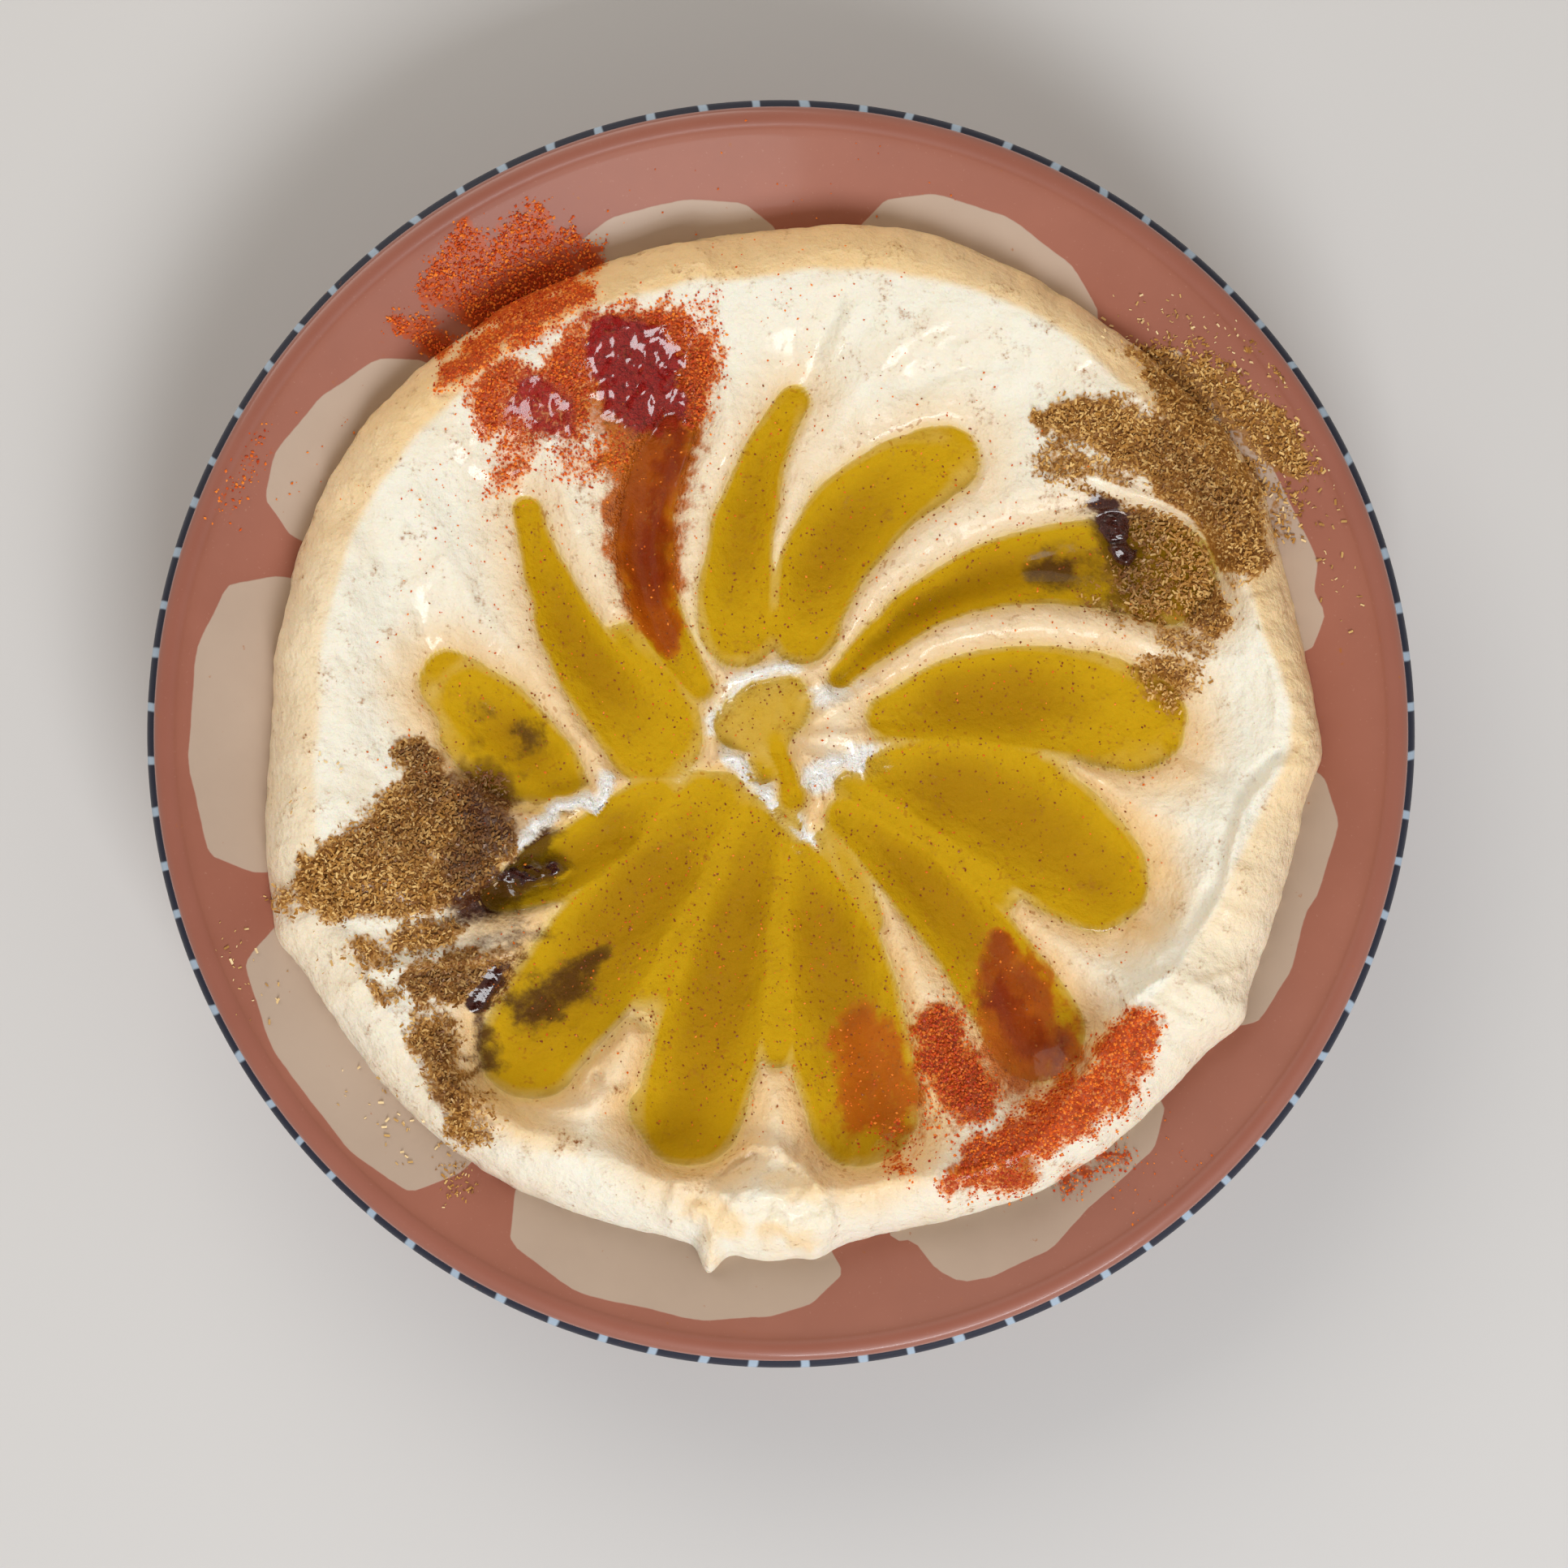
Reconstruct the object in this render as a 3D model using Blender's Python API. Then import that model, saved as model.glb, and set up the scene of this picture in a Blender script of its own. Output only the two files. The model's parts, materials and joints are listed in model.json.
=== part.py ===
"""A shallow stoneware bowl of hummus, furrowed round its middle with a spoon and pooled with olive oil.

Metres, +Z up. The origin is the middle of the foot's underside, so the bowl stands on Z = 0.
+Y is the far side of the bowl when it is served, and angles are counted anticlockwise from +X.
"""

import math

import bmesh
import bpy
import numpy as np
from mathutils import Vector
from mathutils.bvhtree import BVHTree

MM = 0.001

# ---- The bowl ----
LIP_RADIUS = 103.4 * MM  # outer edge of the bare terracotta lip
BELLY_RADIUS = 105.0 * MM  # the painted wall stands a little proud of the lip
RIM_Z = 39.0 * MM
FLOOR_Z = 8.5 * MM
FLOOR_RADIUS = 25.0 * MM  # the flat middle of the inside
WALL_TOP_RADIUS = 99.5 * MM  # where the inside wall turns over into the lip
WALL_CURVE = 1.5
FOOT_RADIUS = 46.0 * MM
FOOT_WIDTH = 5.0 * MM
FOOT_Z = 4.0 * MM
RECESS_Z = 2.5 * MM  # the underside inside the foot ring
BACK_CURVE = 0.9
BOWL_STEPS = 48

# ---- The hummus ----
GAP = 0.3 * MM  # clearance between solids that touch
OIL_LEVEL = 33.0 * MM
RING_RISE = 9.5 * MM  # crest of the outer ring above the oil
RIDGE_RISE = 3.2 * MM  # ridges between furrows above the oil
RIDGE_REACH = 1.5 * MM  # how quickly a ridge rises from the shore
RIDGE_FADE = 22.0 * MM  # ridges flatten out this near the crest
BLEND = 1.2 * MM  # rounding where furrows run together
SWIRL = (-1.0 * MM, -3.5 * MM)  # the point that the furrows turn about

# Radius of the mound, and how far its crest lies inside that, every 15 degrees from +X.
MOUND_MM = (
    (87.9, 86.6, 88.6, 86.3, 85.5, 85.4, 82.7, 82.3, 83.1, 84.3, 85.1, 84.1)
    + (83.7, 87.1, 86.9, 87.0, 86.5, 84.7, 85.3, 83.9, 86.3, 86.6, 87.3, 86.3)
)
SHOULDER_MM = (
    (4.5, 6.5, 7.5, 6.2, 5.5, 7.5, 7.0, 6.8, 6.5, 7.5, 8.0, 8.0)
    + (7.5, 9.0, 8.0, 8.0, 9.0, 8.5, 9.5, 8.5, 7.5, 12.0, 12.0, 9.0)
)
CREST_MM = (0.2, 0.0, 0.5, 0.8, 0.3, -0.5, -0.2, 0.4)  # its ups and downs, every 45 degrees
# Lumps on the mound's edge: angle, how far out, and half width in degrees.
EDGE_LUMPS = ((202, 2.0, 4.0), (328, 2.0, 3.0), (358, 1.2, 3.0))

# Spoon furrows, each from its inner to its outer end about the swirl's middle: angle and radius at both
# ends, how far the middle bows to the left, half widths at the inner end, middle and outer end, the depth
# below the oil at the middle, and the share of that depth left at the outer end. Millimetres and degrees.
FURROWS = {
    "noon": (105.7, 22.1, 87.1, 57.6, 3.2, (5.6, 4.4, 3.7), 3.6, 0.2),
    "one": (76.9, 20.5, 59.9, 55.8, 5.6, (5.1, 7.3, 5.3), 4.2, 0.2),
    "two": (48.9, 16.8, 24.9, 70.8, 8.4, (1.9, 5.1, 8.2), 4.4, 0.5),
    "three": (17.8, 19.6, 5.5, 58.9, 3.4, (3.7, 8.3, 8.3), 4.6, 0.2),
    "four": (-10.0, 17.6, -20.8, 56.3, 3.0, (3.2, 10.4, 8.5), 4.6, 0.7),
    "five": (-41.6, 15.7, -46.7, 62.6, 2.4, (3.2, 6.4, 7.7), 4.6, 0.7),
    "half_past_five": (-76.8, 17.5, -76.2, 60.4, 0.8, (3.6, 9.3, 8.8), 4.8, 0.5),
    "half_past_six": (257.7, 12.8, 256.6, 60.5, 0.2, (4.4, 8.3, 8.4), 5.4, 0.6),
    "half_past_seven": (217.0, 14.0, 230.2, 62.4, 0.2, (5.6, 9.3, 8.6), 5.0, 0.5),
    "eight": (203.0, 21.5, 207.9, 64.9, 1.7, (4.8, 4.5, 3.3), 4.0, 0.6),
    "nine": (188.0, 35.6, 167.5, 54.8, -0.8, (4.0, 6.3, 4.8), 3.8, 0.2),
    "ten": (171.5, 20.5, 135.5, 57.0, 3.1, (7.8, 4.8, 1.9), 4.2, 0.3),
    "eleven": (138.2, 17.0, 109.8, 62.3, 4.6, (2.1, 4.0, 6.9), 4.0, 0.3),
    "crater": (142.0, 7.7, 81.0, 8.4, 0.0, (3.1, 4.7, 4.0), 2.8, 0.9),
    "spill_six": (270.0, 20.0, 270.4, 50.0, 0.0, (3.0, 4.0, 4.4), 1.5, 0.6),
    "spill_seven": (246.0, 20.0, 243.5, 43.0, 0.0, (3.0, 4.0, 4.4), 1.5, 0.6),
    "crater_tail": (90.0, 2.1, 294.0, 7.8, 0.0, (2.2, 1.2, 2.2), 1.8, 0.9),
}
PATH_POINTS = 48

# ---- Meshing ----
TOP_CELLS = 104  # across the fine block that is then thinned
SHOULDER_RINGS = 7
HUMMUS_SHARE = 0.13  # of the fine block's triangles that are kept
BURIED = 5.0 * MM  # the block runs this far below the bowl's inside before it is trimmed
POOL_DEPTH = 8.0 * MM  # the slab that the pools are cut from, deeper than any furrow
POOL_RADIUS = 79.0 * MM
POOL_FLOOR_RADIUS = 70.0 * MM
LEAST_POOL = 30.0 * MM**3

# Each pool of oil and a point in it, in millimetres from the bowl's middle.
POOLS_MM = {
    "oil_far": (8.0, 30.0),
    "oil_far_right": (38.0, 26.0),
    "oil_right": (34.0, -14.0),
    "oil_near": (0.0, -44.0),
    "oil_left": (-45.0, 0.0),
    "oil_far_left": (-20.5, 35.0),
    "oil_middle": (-2.0, 4.0),
}


def clear_scene():
    for obj in list(bpy.data.objects):
        bpy.data.objects.remove(obj)


def material(name, colour, roughness, metallic=0.0):
    made = bpy.data.materials.new(name)
    made.use_nodes = True
    shader = made.node_tree.nodes["Principled BSDF"]
    shader.inputs["Base Color"].default_value = (*colour, 1.0)
    shader.inputs["Roughness"].default_value = roughness
    shader.inputs["Metallic"].default_value = metallic
    return made


def add_object(name, mesh, finish=None):
    obj = bpy.data.objects.new(name, mesh)
    bpy.context.scene.collection.objects.link(obj)
    if finish:
        obj.data.materials.append(finish)
    return obj


def helper(obj):
    """Marks a cutter or a guide, which isn't part of the object."""
    obj.hide_render = True
    obj.display_type = "WIRE"
    return obj


def mesh_of(name, points, faces):
    mesh = bpy.data.meshes.new(name)
    mesh.from_pydata([tuple(p) for p in points], [], faces)
    mesh.update()
    return mesh


def revolved(name, profile, finish=None):
    """A closed profile of (radius, height), run down its outer side, turned about Z."""
    mesh = bpy.data.meshes.new(name)
    edges = [(i, i + 1) for i in range(len(profile) - 1)]
    mesh.from_pydata([(r, 0.0, z) for r, z in profile], edges, [])
    obj = add_object(name, mesh, finish)
    screw = obj.modifiers.new("Turn", "SCREW")
    screw.axis = "Z"
    screw.steps = screw.render_steps = BOWL_STEPS
    screw.use_merge_vertices = True
    screw.merge_threshold = 0.05 * MM
    screw.use_smooth_shade = True
    return obj


# ---- The bowl's two sides ----
def inside_z(radius):
    """Height of the bowl's inside at a radius from its axis."""
    share = np.clip((np.asarray(radius) - FLOOR_RADIUS) / (WALL_TOP_RADIUS - FLOOR_RADIUS), 0, None)
    return FLOOR_Z + (RIM_Z - 1.0 * MM - FLOOR_Z) * share**WALL_CURVE


def inside_profile(count=8):
    radii = [0.0] + list(np.linspace(FLOOR_RADIUS, WALL_TOP_RADIUS, count))
    return [(r, float(inside_z(r))) for r in radii]


def lip_profile():
    """From the inside wall over the rounded lip to the little step above the painted wall."""
    middle = (WALL_TOP_RADIUS + LIP_RADIUS) / 2
    half = (LIP_RADIUS - WALL_TOP_RADIUS) / 2
    turns = [math.radians(a) for a in (120, 75, 30)]
    arc = [(middle + half * math.cos(a), RIM_Z - 1.4 * MM + 1.4 * MM * math.sin(a)) for a in turns]
    return arc + [(LIP_RADIUS + 0.2 * MM, RIM_Z - 2.2 * MM)]


def outside_profile(count=5):
    """Down the painted wall and the plain back to the foot ring, and in under it."""
    wall = [(BELLY_RADIUS, RIM_Z - 4.6 * MM), (BELLY_RADIUS - 0.6 * MM, RIM_Z - 8.0 * MM)]
    top_r, top_z = wall[-1]
    shares = np.linspace(1, 0, count)[1:]
    back = [
        (FOOT_RADIUS + (top_r - FOOT_RADIUS) * s, FOOT_Z + (top_z - FOOT_Z) * s**BACK_CURVE)
        for s in shares
    ]
    foot_inside = FOOT_RADIUS - FOOT_WIDTH
    foot = [
        (FOOT_RADIUS, 0.0),
        (foot_inside, 0.0),
        (foot_inside - 0.8 * MM, RECESS_Z),
        (0.0, RECESS_Z),
    ]
    return wall + back + foot


def make_bowl():
    finish = material("terracotta", (0.37, 0.13, 0.085), 0.55)
    return revolved("bowl", inside_profile() + lip_profile() + outside_profile(), finish)


# ---- The mound of hummus ----
def round_the_ring(values, angle):
    """Evenly spaced values joined into a smooth closed curve, read at angles in radians."""
    values = np.asarray(values, float)
    place = (np.asarray(angle) / math.tau % 1.0) * len(values)
    first = np.floor(place).astype(int)
    share = place - first
    before, here, after, later = (values[(first + k) % len(values)] for k in (-1, 0, 1, 2))
    slope_here, slope_after = (after - before) / 2, (later - here) / 2
    rise = after - here
    return (
        here
        + slope_here * share
        + (3 * rise - 2 * slope_here - slope_after) * share**2
        + (slope_here + slope_after - 2 * rise) * share**3
    )


def mound_radius(angle):
    radius = round_the_ring(MOUND_MM, angle) * MM
    for degrees, out, half_width in EDGE_LUMPS:
        off = (np.degrees(angle) - degrees + 180) % 360 - 180
        radius = radius + out * MM * np.exp(-((off / half_width) ** 2))
    return radius


def crest_radius(angle):
    return mound_radius(angle) - round_the_ring(SHOULDER_MM, angle) * MM


def crest_z(angle):
    return OIL_LEVEL + RING_RISE + round_the_ring(CREST_MM, angle) * MM


def furrow_path(furrow):
    """Points along a furrow, its half width at each, and each one's share of the way."""
    angle_in, radius_in, angle_out, radius_out, bow, widths, _, _ = furrow
    share = np.linspace(0, 1, PATH_POINTS)[:, None]
    ends = [
        np.array([math.cos(math.radians(a)), math.sin(math.radians(a))]) * r * MM
        for a, r in ((angle_in, radius_in), (angle_out, radius_out))
    ]
    along = ends[1] - ends[0]
    left = np.array([-along[1], along[0]]) / np.hypot(*along)
    path = ends[0] + along * share + left * bow * MM * 4 * share * (1 - share) + np.array(SWIRL)
    share = share[:, 0]
    inner, middle, outer = widths
    width = inner * (1 - share) * (1 - 2 * share) + middle * 4 * share * (1 - share)
    width = (width + outer * share * (2 * share - 1)) * MM
    return path, width, share


def furrow_depth_share(share, outer_share):
    """A spoon sinks in quickly at the inner end, and lifts out more slowly at the outer one."""
    sinking = np.clip(share / 0.25, 0, 1)
    lifting = np.clip((1 - share) / 0.45, 0, 1)
    return (0.45 + 0.55 * sinking) * (outer_share + (1 - outer_share) * lifting)


def furrow_fields(x, y):
    """Distance to the nearest shore, less than nothing inside a furrow, and the depth under the oil."""
    shore = np.full(x.shape, 1.0)
    depth = np.zeros(x.shape)
    for furrow in FURROWS.values():
        path, width, share = furrow_path(furrow)
        deep = furrow[6] * MM * furrow_depth_share(share, furrow[7])
        away = np.hypot(x[..., None] - path[:, 0], y[..., None] - path[:, 1])
        outside = (away - width).min(-1)
        inside = away / width
        nearest = inside.argmin(-1)
        hollow = deep[nearest] * np.clip(1 - inside.min(-1) ** 2, 0, None)
        shore = smooth_least(shore, outside, BLEND)
        depth = -smooth_least(-depth, -hollow, BLEND / 2)
    return shore, depth


def smooth_least(first, second, blend):
    """The smaller of two fields, rounded where they cross."""
    share = np.clip(0.5 + 0.5 * (second - first) / blend, 0, 1)
    return second * (1 - share) + first * share - blend * share * (1 - share)


def top_z(x, y):
    """Height of the hummus inside its crest."""
    angle = np.arctan2(y, x)
    shore, depth = furrow_fields(x, y)
    to_crest = np.clip(crest_radius(angle) - np.hypot(x, y), 0, None)
    above = np.clip(shore, 0, None)
    climb = above / (above + to_crest + 1e-6)
    slope = 0.45 * climb + 0.55 * climb**2 * (3 - 2 * climb)
    ridge = RIDGE_RISE * (1 - np.exp(-above / RIDGE_REACH))
    ridge = ridge * np.clip(to_crest / RIDGE_FADE, 0, 1) * (1 - climb)
    rise = (crest_z(angle) - OIL_LEVEL) * slope + ridge
    return OIL_LEVEL + np.where(shore > 0, rise, 0) - depth


def ring_angles(level):
    """Angles of the points on one ring of the fine block, which gains eight at each level."""
    return np.arange(max(8 * level, 1)) * math.tau / max(8 * level, 1)


def block_mesh():
    """The whole mound, finely meshed: rings inside the crest, the shoulder, and a buried skirt."""
    levels = TOP_CELLS // 2
    rings = []
    for level in range(levels + 1):
        angles = ring_angles(level)
        radius = crest_radius(angles) * level / levels
        x, y = radius * np.cos(angles), radius * np.sin(angles)
        rings.append(np.stack([x, y, top_z(x, y)], 1))
    angles = ring_angles(levels)
    inner, outer = crest_radius(angles), mound_radius(angles)
    foot = inside_z(outer)
    for step in range(1, SHOULDER_RINGS + 1):
        turn = math.pi / 2 * step / SHOULDER_RINGS
        radius = inner + (outer - inner) * math.sin(turn)
        height = foot + (crest_z(angles) - foot) * math.cos(turn)
        rings.append(np.stack([radius * np.cos(angles), radius * np.sin(angles), height], 1))
    for share in (1.0, 0.75, 0.5, 0.25):
        radius = outer * share
        x, y = radius * np.cos(angles), radius * np.sin(angles)
        rings.append(np.stack([x, y, inside_z(radius) - BURIED], 1))
    points = np.concatenate(rings + [np.array([[0.0, 0.0, FLOOR_Z - BURIED]])])
    starts = np.cumsum([0] + [len(r) for r in rings])
    faces = []
    for k in range(len(rings) - 1):
        faces += faces_between(starts[k], len(rings[k]), starts[k + 1], len(rings[k + 1]))
    last, count = starts[-2], len(rings[-1])
    faces += [(last + (i + 1) % count, last + i, len(points) - 1) for i in range(count)]
    return mesh_of("hummus", points, faces)


def faces_between(inner, inner_count, outer, outer_count):
    """Faces from one ring out to the next, which has the same number of points or eight more."""
    faces = []
    if inner_count == outer_count:
        for i in range(inner_count):
            j = (i + 1) % inner_count
            faces.append((inner + i, outer + i, outer + j, inner + j))
        return faces
    if inner_count == 1:
        return [(inner, outer + i, outer + (i + 1) % outer_count) for i in range(outer_count)]
    side_in, side_out = inner_count // 8, outer_count // 8
    for side in range(8):
        for i in range(side_out):
            a = outer + side * side_out + i
            b = outer + (side * side_out + i + 1) % outer_count
            c = inner + (side * side_in + min(i, side_in)) % inner_count
            d = inner + (side * side_in + i + 1) % inner_count
            faces.append((a, b, c) if i == side_in else (a, b, d, c))
    return faces


def make_cavity():
    """What the bowl holds, a gap above its inside: it trims the mound's underside."""
    walls = [(r, z + GAP) for r, z in inside_profile()]
    top = 2 * RIM_Z
    return helper(revolved("cavity", [(0.0, top), (WALL_TOP_RADIUS, top)] + walls[::-1]))


def make_hummus(cavity):
    obj = add_object("hummus", block_mesh(), material("hummus", (0.80, 0.65, 0.42), 0.5))
    thin = obj.modifiers.new("Thin", "DECIMATE")
    thin.ratio = HUMMUS_SHARE
    trim = obj.modifiers.new("Trim", "BOOLEAN")
    trim.operation = "INTERSECT"
    trim.object = cavity
    return obj


def make_oil(hummus):
    """Level pools in the furrows: a slab less the hummus, in one object for each pool."""
    graph = bpy.context.evaluated_depsgraph_get()
    raised = bpy.data.meshes.new_from_object(hummus.evaluated_get(graph))
    cutter = helper(add_object("raised_hummus", raised))
    cutter.location.z = GAP
    slab = bmesh.new()
    bmesh.ops.create_cone(
        slab, cap_ends=True, segments=BOWL_STEPS,
        radius1=POOL_FLOOR_RADIUS, radius2=POOL_RADIUS, depth=POOL_DEPTH,
    )
    bmesh.ops.translate(slab, verts=slab.verts, vec=(0, 0, OIL_LEVEL - POOL_DEPTH / 2))
    mesh = bpy.data.meshes.new("slab")
    slab.to_mesh(mesh)
    slab.free()
    slab_object = helper(add_object("slab", mesh))
    cut = slab_object.modifiers.new("Cut", "BOOLEAN")
    cut.operation = "DIFFERENCE"
    cut.object = cutter
    graph = bpy.context.evaluated_depsgraph_get()
    pools = bpy.data.meshes.new_from_object(slab_object.evaluated_get(graph))
    finish = material("olive_oil", (0.55, 0.33, 0.01), 0.08)
    for part in loose_parts(pools):
        name = pool_name(part)
        if name:
            add_object(name, part, finish)


def loose_parts(mesh):
    """The mesh's separate shells, each as a mesh."""
    source = bmesh.new()
    source.from_mesh(mesh)
    left = set(source.verts)
    parts = []
    while left:
        found, todo = set(), [left.pop()]
        while todo:
            vert = todo.pop()
            found.add(vert)
            near = {e.other_vert(vert) for e in vert.link_edges} & left
            left -= near
            todo += near
        parts.append(found)
    made = []
    for found in sorted(parts, key=len, reverse=True):
        piece = bmesh.new()
        copies = {v: piece.verts.new(v.co) for v in found}
        for face in {f for v in found for f in v.link_faces}:
            piece.faces.new([copies[v] for v in face.verts])
        volume = abs(piece.calc_volume())
        if volume > LEAST_POOL:
            part = bpy.data.meshes.new("pool")
            piece.to_mesh(part)
            made.append(part)
        piece.free()
    source.free()
    return made


def pool_name(mesh):
    """The name of the pool whose point this mesh lies under."""
    tree = BVHTree.FromPolygons([v.co for v in mesh.vertices], [p.vertices for p in mesh.polygons])
    for name, (x, y) in POOLS_MM.items():
        if tree.ray_cast(Vector((x * MM, y * MM, 1.0)), Vector((0.0, 0.0, -1.0)))[0]:
            return name
    return None


def main():
    clear_scene()
    make_bowl()
    hummus = make_hummus(make_cavity())
    make_oil(hummus)


main()
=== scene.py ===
"""The looks of a terracotta bowl of hummus: the glazed bowl with its painted petals, the hummus furrowed
by a spoon, the olive oil lying in the furrows, and the paprika and cumin dusted over it all.

Metres, +Z up. Sizes that the bowl and the hummus share with their solids are repeated here.
"""

import json
import math

import bmesh
import bpy
import numpy as np
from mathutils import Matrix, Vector

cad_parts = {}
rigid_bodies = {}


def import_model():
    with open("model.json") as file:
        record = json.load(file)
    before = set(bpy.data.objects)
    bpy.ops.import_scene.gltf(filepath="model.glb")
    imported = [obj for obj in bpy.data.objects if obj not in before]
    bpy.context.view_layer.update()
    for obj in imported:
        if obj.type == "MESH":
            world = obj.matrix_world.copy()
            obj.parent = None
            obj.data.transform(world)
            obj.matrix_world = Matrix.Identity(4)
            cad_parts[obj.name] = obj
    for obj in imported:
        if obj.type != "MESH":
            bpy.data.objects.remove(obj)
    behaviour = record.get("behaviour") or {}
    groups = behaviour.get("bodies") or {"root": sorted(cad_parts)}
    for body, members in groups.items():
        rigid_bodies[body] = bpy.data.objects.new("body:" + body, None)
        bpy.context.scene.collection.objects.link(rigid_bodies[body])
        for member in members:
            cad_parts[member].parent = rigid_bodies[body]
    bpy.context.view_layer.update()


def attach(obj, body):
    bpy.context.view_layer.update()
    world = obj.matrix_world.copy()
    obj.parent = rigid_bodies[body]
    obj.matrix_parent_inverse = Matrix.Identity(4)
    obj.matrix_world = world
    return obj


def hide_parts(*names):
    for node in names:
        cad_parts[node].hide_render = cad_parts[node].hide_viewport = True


MM = 0.001

# ---- Camera and light ----
VIEW_HEIGHT = 0.640
VIEW_CENTRE = (0.0005, -0.0083)
VIEW_LENS = 83.9  # on a 36 mm sensor
PLAN_Z = 0.040
LIT_POINT = (0, 0, 0.03)
SKY = (1.0, 0.94, 0.87)
TABLE_HALF = 3.0

# ---- The bowl ----
LIP_RADIUS = 103.4 * MM
BELLY_RADIUS = 105.0 * MM
RIM_Z = 39.0 * MM
FLOOR_Z = 8.5 * MM
FLOOR_RADIUS = 25.0 * MM
WALL_TOP_RADIUS = 99.5 * MM
WALL_CURVE = 1.5
LIP_HEIGHT = 1.4 * MM
FOOT_RADIUS = 46.0 * MM
FOOT_WIDTH = 5.0 * MM
FOOT_Z = 4.0 * MM
RECESS_Z = 2.5 * MM
BACK_CURVE = 0.9
BOWL_SPOKES = 384
INSIDE_RINGS, LIP_RINGS, GROOVE_RINGS, WALL_RINGS, BACK_RINGS = 62, 15, 2, 6, 15
# Between these radii the lip's clay is painted darker, as shade against the light its rounding catches.
SHADED_LIP_RADII = (0.0992, 0.1005)  # radii between which the lip darkens
SHINY_EDGE = (0.1021, 0.1027)  # radii between which its outer edge starts to shine
PETALS_FROM = 60.0 * MM
NO_PETAL = -5.0 * MM
WALL_STROKES = 76
STROKE_HALF_WIDTH = (0.06, 0.11)

# ---- The hummus ----
OIL_LEVEL = 33.0 * MM
RING_RISE = 9.5 * MM
RIDGE_RISE = 3.2 * MM
RIDGE_REACH = 1.5 * MM
RIDGE_FADE = 22.0 * MM
BLEND = 1.2 * MM
SWIRL = (-1.0 * MM, -3.5 * MM)
BURIED = 2.0 * MM
TOP_LEVELS = 128
SHOULDER_RINGS = 26
SHOULDER_OUT, SHOULDER_DOWN = 1.15, 0.9  # how square the outer slope is
LEAST_SHOULDER = 3.0 * MM
BURIED_RINGS = (0.98, 0.6)
OIL_NODES = ("oil_far", "oil_far_left", "oil_far_right", "oil_left", "oil_middle", "oil_near", "oil_right")
OIL_GRID = 0.36 * MM
OIL_REACH = 80.0 * MM
OIL_OVERLAP = 0.9 * MM
SHORE_WOBBLE = (7, 0.45, 1)  # noise size and strength in mm, and seed
FOLD_WOBBLE = (3, 0.5, 31)
SPICE_WOBBLE = (4, 1.6, 51)
HIDDEN = 0.02  # stands for a shore that is far away

# ---- Loose spices ----
GRAINS_WITHIN = 101.0 * MM
PATCH_MARGIN = 3.0  # mm
GRAIN_LIFT = 0.12 * MM
HEAP_HEIGHT = 0.25 * MM
TILT = 1.0  # radians, in all

# Radius of the mound, and how far its crest lies inside that, every 15 degrees from +X.
MOUND_MM = (
    (87.9, 86.6, 88.6, 86.3, 85.5, 85.4, 82.7, 82.3, 83.1, 84.3, 85.1, 84.1)
    + (83.7, 87.1, 86.9, 87.0, 86.5, 84.7, 85.3, 83.9, 86.3, 86.6, 87.3, 86.3)
)
SHOULDER_MM = (
    (4.5, 6.5, 7.5, 6.2, 5.5, 7.5, 7.0, 6.8, 6.5, 7.5, 8.0, 8.0)
    + (7.5, 9.0, 8.0, 8.0, 9.0, 8.5, 9.5, 8.5, 7.5, 12.0, 12.0, 9.0)
)
CREST_MM = (0.2, 0.0, 0.5, 0.8, 0.3, -0.5, -0.2, 0.4)
# Lumps on the mound's edge: angle, how far out in mm, and half width in degrees.
EDGE_LUMPS = (
    (202, 2.0, 4.0), (328, 2.0, 3.0), (358, 1.2, 3.0), (262.3, 4.4, 1.3), (268.0, 1.0, 4.5), (274.0, 1.2, 2.2),
)
# Hummus piled in rough dollops, and browned spots on the outer slope.
DOLLOPS = (
    (((-15.0, -76.5, 2.6), (-10.0, -78.0, 4.0), (-2.0, -77.0, 5.0), (5.0, -78.0, 3.4)), 1.0),
    (((60.0, -45.0, 3.0), (70.0, -44.5, 4.5), (76.0, -43.0, 3.0)), 0.7),
)
BROWNED = (
    (((-13.5, -78.0, 2.2), (-8.0, -80.5, 2.2)), 0.9),
    (((-1.0, -72.5, 1.6), (5.5, -75.5, 1.6)), 0.8),
    (((-3.0, -82.0, 1.6), (4.0, -83.5, 1.5)), 0.9),
    (((-42.0, -65.5, 2.0), (-34.0, -68.0, 1.8)), 0.6),
    (((-11.8, -83.0, 1.4), (-11.0, -86.5, 1.2)), 0.8),
    (((-50.0, -62.0, 1.2), (-40.0, -64.0, 1.4)), 0.5),
)

# How far the outer slope is painted tan as shade, most on the side turned away from the light, every 15 degrees from
# +X.
SHADED_SLOPE_SHARE = (
    (0.8, 0.9, 0.9, 0.85, 0.9, 0.95, 1.0, 1.0, 1.0, 0.95, 0.8, 0.6)
    + (0.5, 0.4, 0.25, 0.1, 0.05, 0.05, 0.1, 0.1, 0.1, 0.15, 0.3, 0.6)
)

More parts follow.
